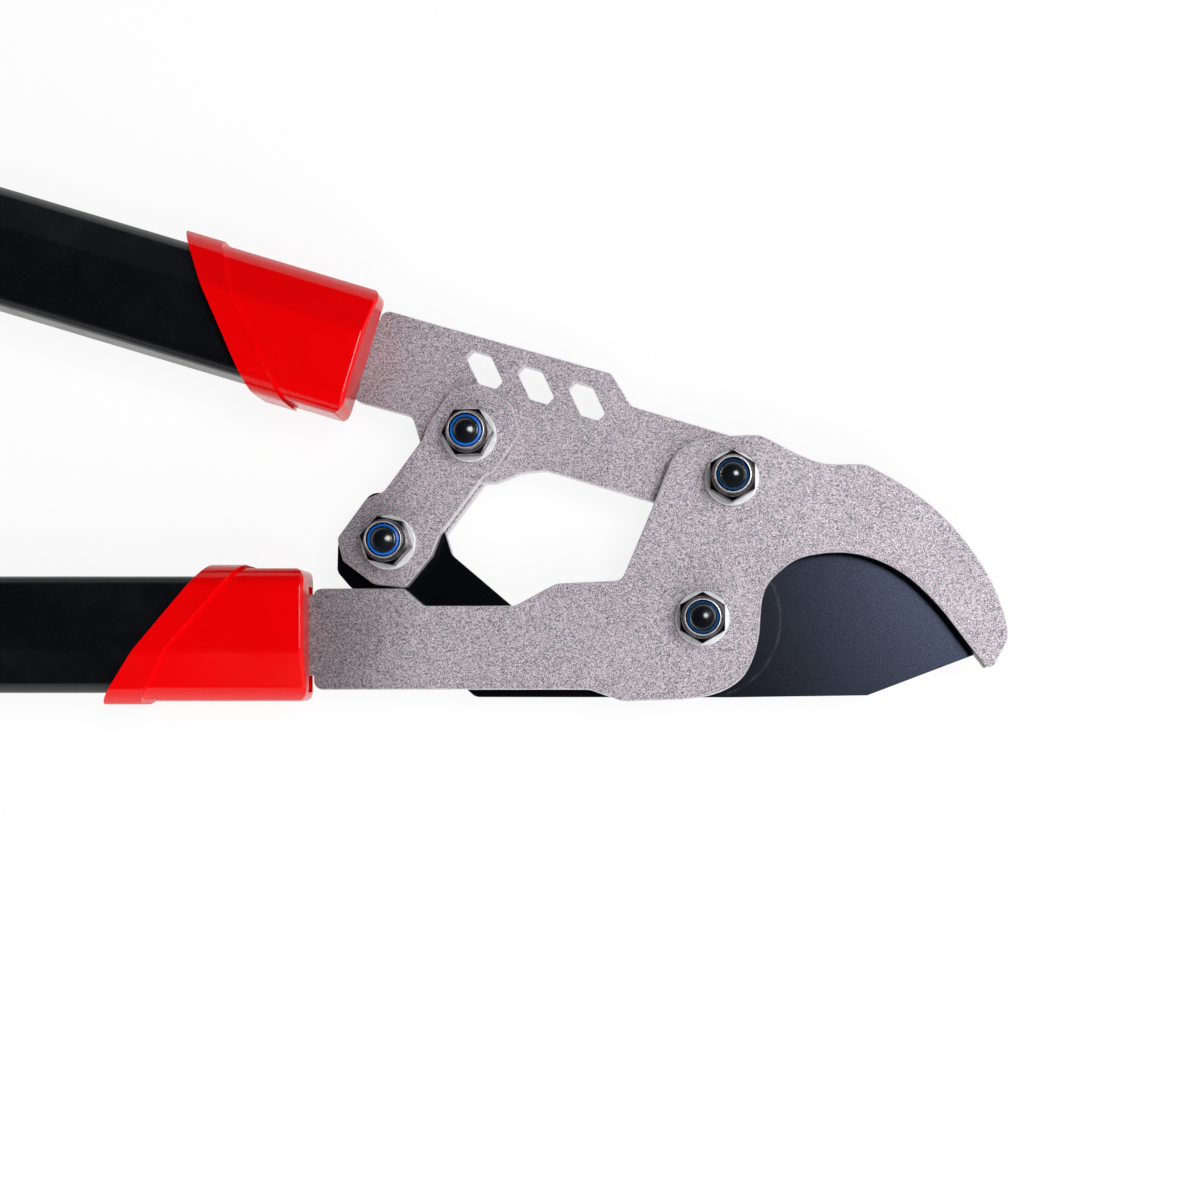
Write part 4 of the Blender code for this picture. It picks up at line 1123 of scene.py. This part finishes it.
@dataclass
class Pivot:
    """Bolt, lock nut, nylon ring and washers of one pivot."""

    name: str
    body: str
    ring_paint: str
    nut_turn: float
    head_turn: float
    tip_r: float
    ring_r: float
    flats: float = 13.0
    bolt_r: float = 4.0
    bore_r: float = 4.2
    washer_r: float = 8.0
    washer_round: float = 0.32
    washer_burr: float = 0.15
    rim_in: float = 4.82
    rim_out: float = 6.3
    hexagon_h: float = 6.2
    head_h: float = 5.3
    dome_r: float = 5.8
    nut_slot: str = "black_steel"

    def __post_init__(self) -> None:
        """Work out the pivot's place, and how far a hexagon's corners reach."""
        low, high = node_box(self.name + "_front_washer")
        self.place = Matrix.Translation(((low.x + high.x) / 2, (low.y + high.y) / 2, 0.0))
        self.corner_r = self.flats / 2 / math.cos(math.pi / 6)

    def heights(self, part: str) -> tuple[float, float]:
        """Lowest and highest z of one of the pivot's parts."""
        low, high = node_box(f"{self.name}_{part}")
        return low.z, high.z

    def fit(self, piece: Piece, part: str, slot: str, *paints: str) -> None:
        """Put a finished piece on the pivot's axis.

        Args:
            piece: the piece.
            part: the pivot's part that it stands for.
            slot: the record's material slot.
            paints: names of its finishes.
        """
        settle(piece, self.place, self.body, slot, paints, f"{self.name}_{part}")

    def hexagon(self, name: str, low: float, high: float, turn: float) -> Piece:
        """A hexagonal prism.

        Args:
            name: the piece's name, after the pivot's.
            low: its lower end.
            high: its upper end.
            turn: angle of one corner from X, in degrees.

        Returns:
            The new piece.
        """
        leave_edit_mode()
        bpy.ops.mesh.primitive_cylinder_add(
            vertices=6, radius=self.corner_r, depth=high - low, location=(0.0, 0.0, (low + high) / 2),
            rotation=(0.0, 0.0, math.radians(turn - 90.0)),
        )
        made = bpy.context.object
        made.name = f"{self.name}_{name}"
        bake_place(made)
        return made

    def washer(self, which: str) -> None:
        """Build one washer.

        Args:
            which: front or rear.
        """
        low, high = self.heights(which + "_washer")
        r, bore, e, burr = self.washer_r, self.bore_r, self.washer_round, self.washer_burr
        made = lathe(f"{self.name}_{which}_washer_turned", [
            (bore, low + burr), (bore + burr, low), (r - e, low), (r - 0.3 * e, low + 0.3 * e), (r, low + e),
            (r, high - e), (r - 0.12 * e, high - 0.6 * e), (r - 0.42 * e, high - 0.22 * e), (r - e, high),
            (bore + burr, high), (bore, high - burr),
        ], True, 72)
        self.fit(soften(made), which + "_washer", "zinc", "zinc")

    def nut(self) -> None:
        """Build the lock nut with its rolled rim."""
        low, high = self.heights("nut")
        corner, floor = self.corner_r + 0.25, low + self.hexagon_h - CLEAR
        made = self.hexagon("nut_rolled", low, high, self.nut_turn)
        rolled = [
            (6.12, -2.62), (5.98, -2.45), (5.88, -2.15), (5.8, -1.6), (5.72, -1.0), (5.6, -0.5), (5.46, -0.22),
            (5.3, -0.06), (5.16, 0.0), (5.02, -0.03), (self.rim_in + 0.06, -0.12), (self.rim_in, -0.3),
        ]
        combine(made, "INTERSECT", lathe("nut_form", [
            (self.bore_r, low - 0.5), (self.rim_out, low - 0.2), (self.rim_out, low), (corner, low + 0.6),
            (corner, high - 3.2), *((r, high + z) for r, z in rolled), (self.rim_in, floor), (self.bore_r, floor),
        ], True, 96))
        soften(made, 0.1, 2, 28.0)
        # The rolled rim gets a lighter grey, and a thin strip on its top a painted highlight.
        for face in made.data.polygons:
            reach, above = face.center.xy.length, face.center.z - high
            on_rim = self.rim_in + 0.1 < reach < self.rim_out and above > -2.75
            face.material_index = on_rim + (on_rim and above > -0.055)
        self.fit(made, "nut", self.nut_slot, "black_nickel", "nut_rim_grey", "nut_rim_highlight")

    def ring(self) -> None:
        """Build the nylon ring."""
        low, high = self.heights("insert")
        made = lathe(self.name + "_insert_ring", [
            (self.tip_r + 0.04, low), (self.ring_r, low), (self.ring_r, high - 0.2), (self.ring_r - 0.12, high - 0.04),
            (self.tip_r + 0.22, high + 0.06), (self.tip_r + 0.04, high - 0.04),
        ], True)
        self.fit(soften(made), "insert", "blue_nylon", self.ring_paint)

    def bolt(self) -> None:
        """Build the bolt with its domed end and its hexagon head."""
        low, high = self.heights("bolt")
        head_top, ring_low, tip = low + self.head_h, self.heights("insert")[0], self.tip_r
        dome = [(r, high - self.dome_r + math.sqrt(self.dome_r ** 2 - r ** 2)) for r in (
            tip - 0.55, tip - 0.8, tip - 1.1, tip - 1.5, 2.0, 1.5, 1.0, 0.6, 0.3, 0.08
        )]
        edge = dome[0][1]
        shank = lathe("shank", [
            (self.bolt_r, head_top - 1.0), (self.bolt_r, ring_low - 1.0), (tip, ring_low - 0.3), (tip, edge - 0.3),
            (tip - 0.12, edge - 0.08), (tip - 0.36, edge + 0.02), (tip - 0.48, edge - 0.04), *dome,
        ])
        made = self.hexagon("bolt_forged", low, head_top, math.degrees(self.head_turn))
        corner = self.corner_r + 0.25
        form = lathe("head_form", [
            (2.0, head_top + 1.0), (corner, head_top + 1.0), (corner, low + 0.95), (self.flats / 2 - 0.35, low - 0.02),
            (4.6, low - 0.02), (4.2, low + 0.35), (2.0, low + 0.45),
        ], segments=72)
        combine(made, "INTERSECT", form)
        combine(made, "UNION", shank)
        self.fit(soften(made, 0.12, 2, 28.0), "bolt", "black_steel", "black_oxide")

    def build(self) -> None:
        """Build all the pieces of the pivot."""
        self.washer("front")
        self.washer("rear")
        self.nut()
        self.ring()
        self.bolt()


# Handles


@dataclass(frozen=True)
class Section:
    """Section of a handle's tube: a broad flat, a sloped shoulder outwards and a blunt nose."""

    half_h: float = 17.1
    half_t: float = 10.6
    ridge: float = 4.5
    nose: float = 6.0
    inner_r: float = 4.0
    ridge_r: float = 3.0
    nose_r: float = 5.0

    def corners(self, side: float, distance: float = 0.0) -> list[Corner]:
        """The section's corners, moved out by a distance.

        Args:
            side: +1 where outwards is +Y, else -1.
            distance: how far every side is moved out.

        Returns:
            (y, z, radius) of each corner.
        """
        base = [
            (-self.half_h, -self.half_t, self.inner_r), (self.ridge, -self.half_t, self.ridge_r),
            (self.half_h, -self.nose, self.nose_r), (self.half_h, self.nose, self.nose_r),
            (self.ridge, self.half_t, self.ridge_r), (-self.half_h, self.half_t, self.inner_r),
        ]
        moved = []
        for index, (y, z, radius) in enumerate(base):
            here = Vector((y, z))
            back = (here - Vector(base[index - 1][:2])).normalized()
            ahead = (Vector(base[(index + 1) % len(base)][:2]) - here).normalized()
            out_back = Vector((back.y, -back.x))
            out_ahead = Vector((ahead.y, -ahead.x))
            place = here + (out_back + out_ahead) * distance / (1 + out_back.dot(out_ahead))
            moved.append((side * place.x, place.y, max(radius + distance, 0.6)))
        return moved


@dataclass
class Handle:
    """One handle: collar, outer tube, lock, inner tube and grip, in its own frame."""

    name: str
    body: str
    side: float
    end: Point
    tilt: float
    tang_low: float
    tang_high: float
    mid_z: float = 2.4
    section: Section = field(default_factory=Section)
    collar_wall: float = 2.1
    collar_ridge_len: float = 48.7
    collar_slant: float = 0.84
    collar_outer_slant: float = 0.75
    collar_front_wall: float = 6.5
    collar_round: float = 1.2
    collar_corner_r: float = 4.0
    collar_lean: float = 5.0
    band_raised: float = 1.0
    band_w: float = 8.6
    band_slant: float = 0.88
    band_outer_slant: float = 0.58
    tang_half_h: float = 12.0
    mouth_inner: float = -14.2
    mouth_outer: float = 16.9
    mouth_depth: float = 2.5
    wall: float = 1.5
    play: float = 1.0
    tube_front: float = 6.8
    tube_rear: float = 275.0
    inner_front: float = 66.0
    inner_rear: float = 479.0
    sleeve_front: float = 240.0
    sleeve_rear: float = 302.0
    sleeve_wall: float = 3.0
    sleeve_round: float = 1.3
    ribs: int = 5
    rib_from: float = 8.0
    rib_pitch: float = 4.2
    rib_w: float = 1.9
    rib_raised: float = 0.55
    window_half_l: float = 5.3
    lever_at: float = 288.0
    lever_stands: float = 5.0
    lever_len: float = 44.5
    lever_half_w: float = 6.5
    lever_hub_r: float = 5.2
    ear_t: float = 3.6
    ear_half_l: float = 6.5
    pin_r: float = 2.0
    grip_front: float = 318.0
    grip_rear: float = 482.0
    grip_half_h: float = 20.2
    grip_half_t: float = 16.2
    guard_len: float = 12.0
    guard_round: float = 3.0
    heel_len: float = 10.0
    core_wall: float = 2.3
    cap_t: float = 4.5
    cap_round: float = 1.5
    cap_inset: float = 0.8
    grooves: int = 12
    groove_pitch: float = 8.0

    def __post_init__(self) -> None:
        """Work out the places and sizes that follow from the others."""
        self.place = Matrix.Translation((*self.end, self.mid_z)) @ Matrix.Rotation(self.tilt, 4, "Z")
        self.lever_v = self.section.half_h + CLEAR + self.sleeve_wall + self.lever_stands
        self.lever_place = self.place @ Matrix.Translation((-self.lever_at, self.side * self.lever_v, 0.0))
        self.inner_out = -self.wall - self.play
        self.waist_front = self.grip_front + self.guard_len
        self.waist_rear = self.grip_rear - self.heel_len
        self.tang_low -= self.mid_z
        self.tang_high -= self.mid_z

    def fit(self, piece: Piece, part: str, slot: str, paint: str = "", body: str = "") -> None:
        """Put a finished piece of the handle in its place.

        Args:
            piece: the piece.
            part: the handle's part that it stands for.
            slot: the record's material slot.
            paint: name of its finish, which is that of the slot without it.
            body: the body it moves with, which is the handle's own without it.
        """
        place = self.lever_place if part in ("lock_lever", "lever_pin") else self.place
        settle(piece, place, body or self.body, slot, [paint or slot], f"{self.name}_{part}")

    def run(self, name: str, out: float, front: float, rear: float) -> Piece:
        """A bar of the handle's section.

        Args:
            name: its name.
            out: how far its sides lie outside the section.
            front: where it starts.
            rear: where it ends.

        Returns:
            The new piece.
        """
        return bar(name, self.section.corners(self.side, out), front, rear)

    def bore(self, out: float, front: float, rear: float) -> Piece:
        """A bar of the handle's section that sticks out of what it cuts at both ends."""
        return self.run("bore", out, front - CUT_PAST, rear + CUT_PAST)

    def slab(self, name: str, outline: list[Corner], low: float, high: float, segments: int = 8) -> Piece:
        """A prism over an outline.

        Args:
            name: its name.
            outline: (x, v, radius) of each corner, with v counted outwards.
            low: its lower side.
            high: its upper side.
            segments: straight parts in each rounded corner.

        Returns:
            The new piece.
        """
        return prism(name, [(x, self.side * v, r) for x, v, r in outline], low, high, segments)

    def block(self, low: Corner, high: Corner) -> Piece:
        """A box between two corners, with v counted outwards.

        Args:
            low: its lowest (x, v, z).
            high: its highest (x, v, z).

        Returns:
            The new piece.
        """
        leave_edit_mode()
        first = Vector((low[0], self.side * low[1], low[2]))
        second = Vector((high[0], self.side * high[1], high[2]))
        bpy.ops.mesh.primitive_cube_add(size=1.0, location=(first + second) / 2)
        made = bpy.context.object
        made.scale = [abs(length) for length in second - first]
        bake_place(made)
        return made

    def pin_hole(self, x: float, v: float) -> Piece:
        """Solid of the hole for the lever's pin.

        Args:
            x: where it is along the handle.
            v: where it is outwards.

        Returns:
            The new piece.
        """
        made = lathe("drill", [(self.pin_r + CLEAR, -20.0), (self.pin_r + CLEAR, 20.0)], segments=32)
        made.location = (x, self.side * v, 0.0)
        return made

    def ahead_of(self, at_ridge: float, slant: float, outer_slant: float, corner_r: float) -> Piece:
        """A block that holds all that lies in front of a slanting line that turns at the ridge.

        Args:
            at_ridge: where the line crosses the ridge.
            slant: how far the line runs back for each millimetre outwards, short of the ridge.
            outer_slant: the same past the ridge.
            corner_r: radius of the block's two front corners.

        Returns:
            The new block.
        """
        reach, ahead = 40.0, -6.0
        edge = self.section.half_h + self.collar_wall + CLEAR + 0.05
        ridge = self.section.ridge
        return self.slab("ahead", [
            (at_ridge + slant * (reach + ridge), -reach, 0.0), (ahead, -reach, 0.0), (ahead, -edge, 0.0),
            (0.0, -edge, corner_r), (0.0, edge, corner_r), (ahead, edge, 0.0), (ahead, reach, 0.0),
            (at_ridge - outer_slant * (reach - ridge), reach, 0.0), (at_ridge, ridge, 0.0),
        ], -reach, reach, 10)

    def collar(self) -> None:
        """Build the moulded collar with its raised slanting band."""
        over = self.collar_wall + CLEAR
        length = self.collar_ridge_len + self.collar_slant * self.section.half_h + 6.0
        made = self.run(self.name + "_collar_moulded", over, 0.0, length)
        slope = self.collar_lean / (self.section.half_t + over)
        pick(made, Pick.FACES)
        bpy.ops.mesh.bisect(
            plane_co=(0.0, 0.0, 0.0), plane_no=(1.0, 0.0, -slope), use_fill=True, clear_outer=True, threshold=1e-5
        )
        pick(made, Pick.EDGES, lambda a, b: (
            min(a.x - slope * min(a.z, 0.0), b.x - slope * min(b.z, 0.0)) > -0.01
            and not (abs(a.z) < 0.01 and abs(b.z) < 0.01 and abs(a.y - b.y) > 10.0)
        ))
        round_picked(self.collar_round, 5)
        band = self.run("band", over + self.band_raised, 8.0, length - 1.0)
        front = self.ahead_of(self.band_w - self.collar_ridge_len, self.band_slant, self.band_outer_slant, 0.0)
        combine(band, "DIFFERENCE", front)
        combine(made, "UNION", band)
        combine(made, "INTERSECT", self.ahead_of(
            -self.collar_ridge_len, self.collar_slant, self.collar_outer_slant, self.collar_corner_r
        ))
        cavity = self.run("cavity", CLEAR, self.collar_front_wall, length + 30.0)
        low, high, half_h = self.tang_low - CLEAR, self.tang_high + CLEAR, self.tang_half_h + CLEAR
        slot = self.block((-self.collar_front_wall - 2.0, -half_h, low), (4.0, half_h, high))
        mouth = self.block((-self.mouth_depth, self.mouth_inner, low), (5.0, self.mouth_outer, high))
        combine(made, "DIFFERENCE", cavity, slot, mouth)
        self.fit(soften(made, 0.28, 3, 30.0), "collar", "red_plastic")

    def tube(self, part: str, out: float, front: float, rear: float, paint: str, body: str = "") -> None:
        """Build a tube of the handle's section.

        Args:
            part: the handle's part that it is.
            out: how far its outside lies beyond the section.
            front: where it starts.
            rear: where it ends.
            paint: name of its finish.
            body: the body it moves with, which is the handle's own without it.
        """
        made = self.run(f"{self.name}_{part}_drawn", out, front, rear)
        combine(made, "DIFFERENCE", self.bore(out - self.wall, front, rear))
        self.fit(soften(made, 0.18, 2, 40.0), part, "black_tube", paint, body)

    def lock_sleeve(self) -> None:
        """Build the sleeve that guides the inner tube and carries the lever."""
        over = CLEAR + self.sleeve_wall
        made = self.run(self.name + "_lock_sleeve_moulded", over, self.sleeve_front, self.sleeve_rear)
        pick(made, Pick.EDGES, lambda a, b: abs(a.x - b.x) < 0.01)
        round_picked(self.sleeve_round, 4)
        for rib in range(self.ribs):
            at = self.sleeve_front + self.rib_from + rib * self.rib_pitch
            combine(made, "UNION", soften(self.run("ridge", over + self.rib_raised, at, at + self.rib_w), 0.45, 2))
        at, reach, foot = -self.lever_at, self.ear_half_l, self.section.half_h - 1.0
        top, knee = self.lever_v + reach, foot + 5.0
        outline = [
            (at - reach - 3.0, foot, 0.0), (at + reach + 3.0, foot, 0.0), (at + reach, knee, 4.0),
            (at + reach, top, 5.0), (at - reach, top, 5.0), (at - reach, knee, 4.0),
        ]
        half_w = self.lever_half_w + CLEAR
        for low in (half_w, -half_w - self.ear_t):
            combine(made, "UNION", self.slab("ear", outline, low, low + self.ear_t))
        wide = self.run("wide", CLEAR, self.sleeve_front - CUT_PAST, self.tube_rear + CLEAR)
        narrow = self.run("narrow", CLEAR + self.inner_out, self.tube_rear - 3.0, self.sleeve_rear + CUT_PAST)
        window = self.block(
            (at - self.window_half_l, self.section.half_h - 8.0, -half_w),
            (at + self.window_half_l, self.lever_v + 10.0, half_w),
        )
        combine(made, "DIFFERENCE", wide, narrow, window, self.pin_hole(at, self.lever_v))
        self.fit(soften(made, 0.3, 2), "lock_sleeve", "red_plastic")

    def lock_lever(self) -> None:
        """Build the cam lever, which thins out to where the thumb lifts it."""
        hub, length = self.lever_hub_r, self.lever_len
        made = self.slab(self.name + "_lock_lever_moulded", [
            (-hub, -hub, hub), (length * 0.2, -hub + 0.9, 6.0), (length * 0.7, -2.7, 14.0), (length, 0.6, 1.2),
            (length - 0.8, 4.6, 1.2), (length * 0.68, 1.4, 14.0), (hub, hub, 4.0), (-hub, hub, hub),
        ], -self.lever_half_w, self.lever_half_w)
        combine(made, "DIFFERENCE", self.pin_hole(0.0, 0.0))
        self.fit(soften(made, 0.7), "lock_lever", "black_tube", "drawn_tube", self.name + "_lever")

    def lever_pin(self) -> None:
        """Build the lever's pin with its rounded ends."""
        half, r = self.lever_half_w + CLEAR + self.ear_t, self.pin_r
        end = [(r - 0.8, half), (r - 0.25, half - 0.12), (r, half - 0.5)]
        made = lathe(self.name + "_lever_pin_turned", [(r, -z) for r, z in end] + end[::-1], segments=40)
        self.fit(soften(made), "lever_pin", "zinc")

    def grip_corners(self, inset: float = 0.0) -> list[Corner]:
        """The corners of the grip's section.

        Args:
            inset: how far every side is drawn in.

        Returns:
            (y, z, radius) of each corner.
        """
        h, t, ridge = self.grip_half_h - inset, self.grip_half_t - inset, self.section.ridge
        half = [(-h, t, 8.0), (ridge, t, 6.0), (h, t * 0.6, 9.0)]
        full = [(y, -z, r) for y, z, r in half] + half[::-1]
        return [(self.side * y, z, r - inset) for y, z, r in full]

    def grip_core(self) -> None:
        """Build the grip's hard core with its guard and its heel."""
        made = bar(self.name + "_grip_core_moulded", self.grip_corners(), self.grip_front, self.waist_front)
        pick(made, Pick.EDGES, lambda a, b: abs(a.x - b.x) < 0.01 and abs(a.x + self.grip_front) < 0.01)
        round_picked(self.guard_round, 6)
        heel = bar("heel", self.grip_corners(), self.waist_rear, self.grip_rear)
        waist = self.run("waist", self.core_wall + self.inner_out, self.waist_front - 2.0, self.waist_rear + 2.0)
        combine(made, "UNION", waist, heel)
        combine(made, "DIFFERENCE", self.bore(CLEAR + self.inner_out, self.grip_front, self.grip_rear))
        self.fit(soften(made, 0.5, 3, 35.0), "grip_core", "red_plastic", body=self.name + "_grip")

    def grip_sleeve(self) -> None:
        """Build the soft sleeve with its rows of grooves."""
        front, rear = self.waist_front + CLEAR, self.waist_rear - CLEAR
        half = [(2.0, 0.997), (1.2, 0.985), (0.7, 0.955)]
        groove = [(-away, size) for away, size in half] + half[::-1]
        start = (front + rear) / 2 - self.groove_pitch * (self.grooves - 1) / 2
        stations = [(front, 0.985), (front + 0.8, 1.0)]
        for row in range(self.grooves):
            stations += [(start + self.groove_pitch * row + away, size) for away, size in groove]
        made = prism(self.name + "_grip_sleeve_moulded", self.grip_corners(), -front - 0.001, -front, 6)
        pick(made, Pick.FACES, lambda centre, normal: normal.z < -0.5)
        at, size = front, 1.0
        for next_at, next_size in stations + [(rear - 0.8, 1.0), (rear, 0.985)]:
            grow_ring(at - next_at, next_size / size, -next_at)
            at, size = next_at, next_size
        made.matrix_world = RUN
        bake_place(made)
        tidy_mesh(made, 0.01)
        combine(made, "DIFFERENCE", self.bore(self.core_wall + self.inner_out + CLEAR, front, rear))
        self.fit(soften(made), "grip_sleeve", "black_rubber", body=self.name + "_grip")

    def end_cap(self) -> None:
        """Build the cap that closes the grip, with a shallow dish in its end."""
        front = self.grip_rear + CLEAR
        rim_at = front + self.cap_t - self.cap_round
        made = bar(self.name + "_end_cap_moulded", self.grip_corners(self.cap_inset), front, rim_at)
        pick(made, Pick.FACES, lambda centre, normal: normal.x < -0.99)
        rim = [(self.cap_round * inward, self.cap_round * out) for inward, out in quarter_steps(5)]
        inset_picked(*rim, (2.2, 0.0), (0.2, -0.08), (0.3, -0.42), (0.3, -0.4))
        plug = self.run("plug", self.inner_out - self.wall - CLEAR, self.inner_rear - 16.0, front + 1.0)
        combine(made, "UNION", plug)
        self.fit(soften(made, 0.3, 2, 35.0), "end_cap", "black_rubber", body=self.name + "_grip")

    def build(self) -> None:
        """Build every piece of the handle."""
        self.collar()
        self.tube("outer_tube", 0.0, self.tube_front, self.tube_rear, "black_tube")
        self.lock_sleeve()
        self.lock_lever()
        self.lever_pin()
        self.tube(
            "inner_tube", self.inner_out, self.inner_front, self.inner_rear, "drawn_tube", self.name + "_grip"
        )
        self.grip_core()
        self.grip_sleeve()
        self.end_cap()


# Studio


@dataclass
class Lamp:
    """A soft round lamp."""

    name: str
    place: Corner
    aim: Corner
    size: float
    power: float
    mirrored: bool = True

    def build(self) -> None:
        """Hang the lamp and aim it."""
        leave_edit_mode()
        bpy.ops.object.light_add(type="AREA", location=self.place)
        lamp = bpy.context.object
        lamp.name = self.name
        lamp.data.shape = "DISK"
        lamp.data.size = self.size
        lamp.data.energy = self.power
        lamp.visible_glossy = self.mirrored
        lamp.rotation_euler = (Vector(self.aim) - Vector(self.place)).to_track_quat("-Z", "Y").to_euler()


@dataclass
class Studio:
    """Floor, lamps, surroundings and camera."""

    eye: Corner = (-8.0, -21.0, 447.4)
    lens: float = 44.87
    sensor: float = 36.0
    shift: Point = (-0.0625, 0.075)
    lamps: list[Lamp] = field(default_factory=lambda: [
        Lamp("key", (0.72, 0.16, 1.15), (0.25, -0.08, 0.0), 0.6, 9.3),
        Lamp("level", (0.42, -0.75, 0.75), (0.15, -0.08, 0.0), 1.2, 9.8, False),
    ])
    surround: float = 0.6
    overhead: float = 0.015
    leftward: float = 0.35
    reach: float = 4.0
    steps: int = 96
    backdrop_h: float = 1.6
    floor_colour: float = 0.6
    floor_shadow: float = 0.12

    def floor(self) -> None:
        """Lay the pale floor, which shows white to the camera and keeps a faint shadow."""
        leave_edit_mode()
        bpy.ops.mesh.primitive_circle_add(vertices=self.steps, radius=self.reach, fill_type="NGON")
        floor = bpy.context.object
        floor.name = "floor"
        floor.data.materials.append(self.pale("pale_floor", self.floor_shadow))

    def backdrop(self) -> None:
        """Stand a low round backdrop at the floor's edge, which shows white and lets the light through."""
        leave_edit_mode()
        bpy.ops.mesh.primitive_cylinder_add(
            vertices=self.steps, radius=self.reach, depth=self.backdrop_h, end_fill_type="NOTHING",
            location=(0.0, 0.0, self.backdrop_h / 2),
        )
        wall = bpy.context.object
        wall.name = "backdrop"
        pick(wall, Pick.FACES)
        bpy.ops.mesh.flip_normals()
        leave_edit_mode()
        wall.visible_diffuse = False
        wall.visible_shadow = False
        wall.data.materials.append(self.pale("pale_backdrop", 0.0))

    def pale(self, name: str, shadow: float) -> Material:
        """A pale matt material that shows white to the camera, straight, mirrored or through glass.

        Args:
            name: its name.
            shadow: how much of what the camera sees is lit by the lamps.

        Returns:
            The material.
        """
        nodes = Nodes(name)
        path = nodes.add("LightPath").outputs
        seen = path["Is Camera Ray"]
        for kind in ("Is Glossy Ray", "Is Transmission Ray"):
            seen = nodes.maths("MAXIMUM", seen, path[kind])
        shader = nodes.feed(
            nodes.tree.nodes["Principled BSDF"], Roughness=0.9, Specular_IOR_Level=0.0,
            Base_Color=nodes.span(seen, 0.0, 1.0, self.floor_colour, 1.0),
        )
        mix = nodes.add("MixShader")
        parts = (nodes.times(seen, 1.0 - shadow), shader.outputs[0], nodes.add("Emission").outputs[0])
        for value, socket in zip(parts, mix.inputs):
            nodes.link(value, socket)
        nodes.feed(nodes.tree.nodes["Material Output"], Surface=mix.outputs[0])
        return nodes.owner

    def surroundings(self) -> None:
        """Light the object from all round: dark straight above, pale to the right and dim to the left."""
        nodes = Nodes("studio", bpy.data.worlds)
        bpy.context.scene.world = nodes.owner
        toward = nodes.parted("XYZ", nodes.add("TexCoord").outputs["Generated"])
        above = nodes.span(toward["Z"], 0.5, 0.25, self.overhead, 1.0)
        across = nodes.span(toward["X"], -0.6, 0.5, self.leftward, 1.0)
        strength = nodes.times(nodes.times(above, across), self.surround)
        nodes.feed(nodes.tree.nodes["Background"], Color=(1.0, 1.0, 1.0), Strength=strength)

    def camera(self) -> None:
        """Set the camera at the photograph's viewing angle."""
        data = bpy.data.cameras.new("camera")
        camera = bpy.data.objects.new("camera", data)
        bpy.context.scene.collection.objects.link(camera)
        camera.location = (ORIGIN + Vector(self.eye)) * MM
        data.sensor_width = self.sensor
        data.lens = self.lens
        data.shift_x, data.shift_y = self.shift
        data.clip_start = 0.01
        bpy.context.scene.camera = camera

    def build(self) -> None:
        """Set up the whole studio."""
        bpy.context.scene.view_settings.view_transform = "Standard"
        self.floor()
        self.backdrop()
        for lamp in self.lamps:
            lamp.build()
        self.surroundings()
        self.camera()


# Assembly


def paint_hidden_nodes() -> None:
    """Give the CAD nodes that stay as they are the finish of their slot."""
    finish = {
        "tang_insert": "grey_nylon", "front_rivet": "zinc", "rear_rivet": "zinc", "brake_pad": "black_rubber",
        "glide": "grey_nylon",
    }
    for side in ("lower", "upper"):
        for piece, paint in finish.items():
            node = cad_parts[f"{side}_{piece}"]
            for slot in node.material_slots:
                slot.link = "OBJECT"
                slot.material = PAINT[paint]


def main() -> None:
    """Build the head, the pivots, the handles and the studio."""
    logging.basicConfig(level=logging.INFO, format="%(name)s %(message)s")
    Head().build()
    for pivot in (
        Pivot("handle_pivot", "lower_handle", "deep_blue_nylon", 90.0, 0.0, 3.95, 4.5),
        Pivot("blade_pivot", "lower_handle", "deep_blue_nylon", 90.0, 0.4, 4.05, 4.6),
        Pivot("tail_pivot", "link", "blue_nylon", -12.0, 0.2, 3.78, 4.6, nut_slot="zinc"),
        Pivot("tang_pivot", "link", "blue_nylon", 2.0, 0.7, 3.74, 4.6, nut_slot="zinc"),
    ):
        pivot.build()
    Handle("lower", "lower_handle", -1.0, (-115.7, -4.8), 0.0, 2.3, 7.3).build()
    Handle("upper", "upper_handle", 1.0, (-99.4, 77.7), math.radians(-16.6), -2.0, 2.0).build()
    paint_hidden_nodes()
    Studio().build()


if __name__ == "__main__":
    main()
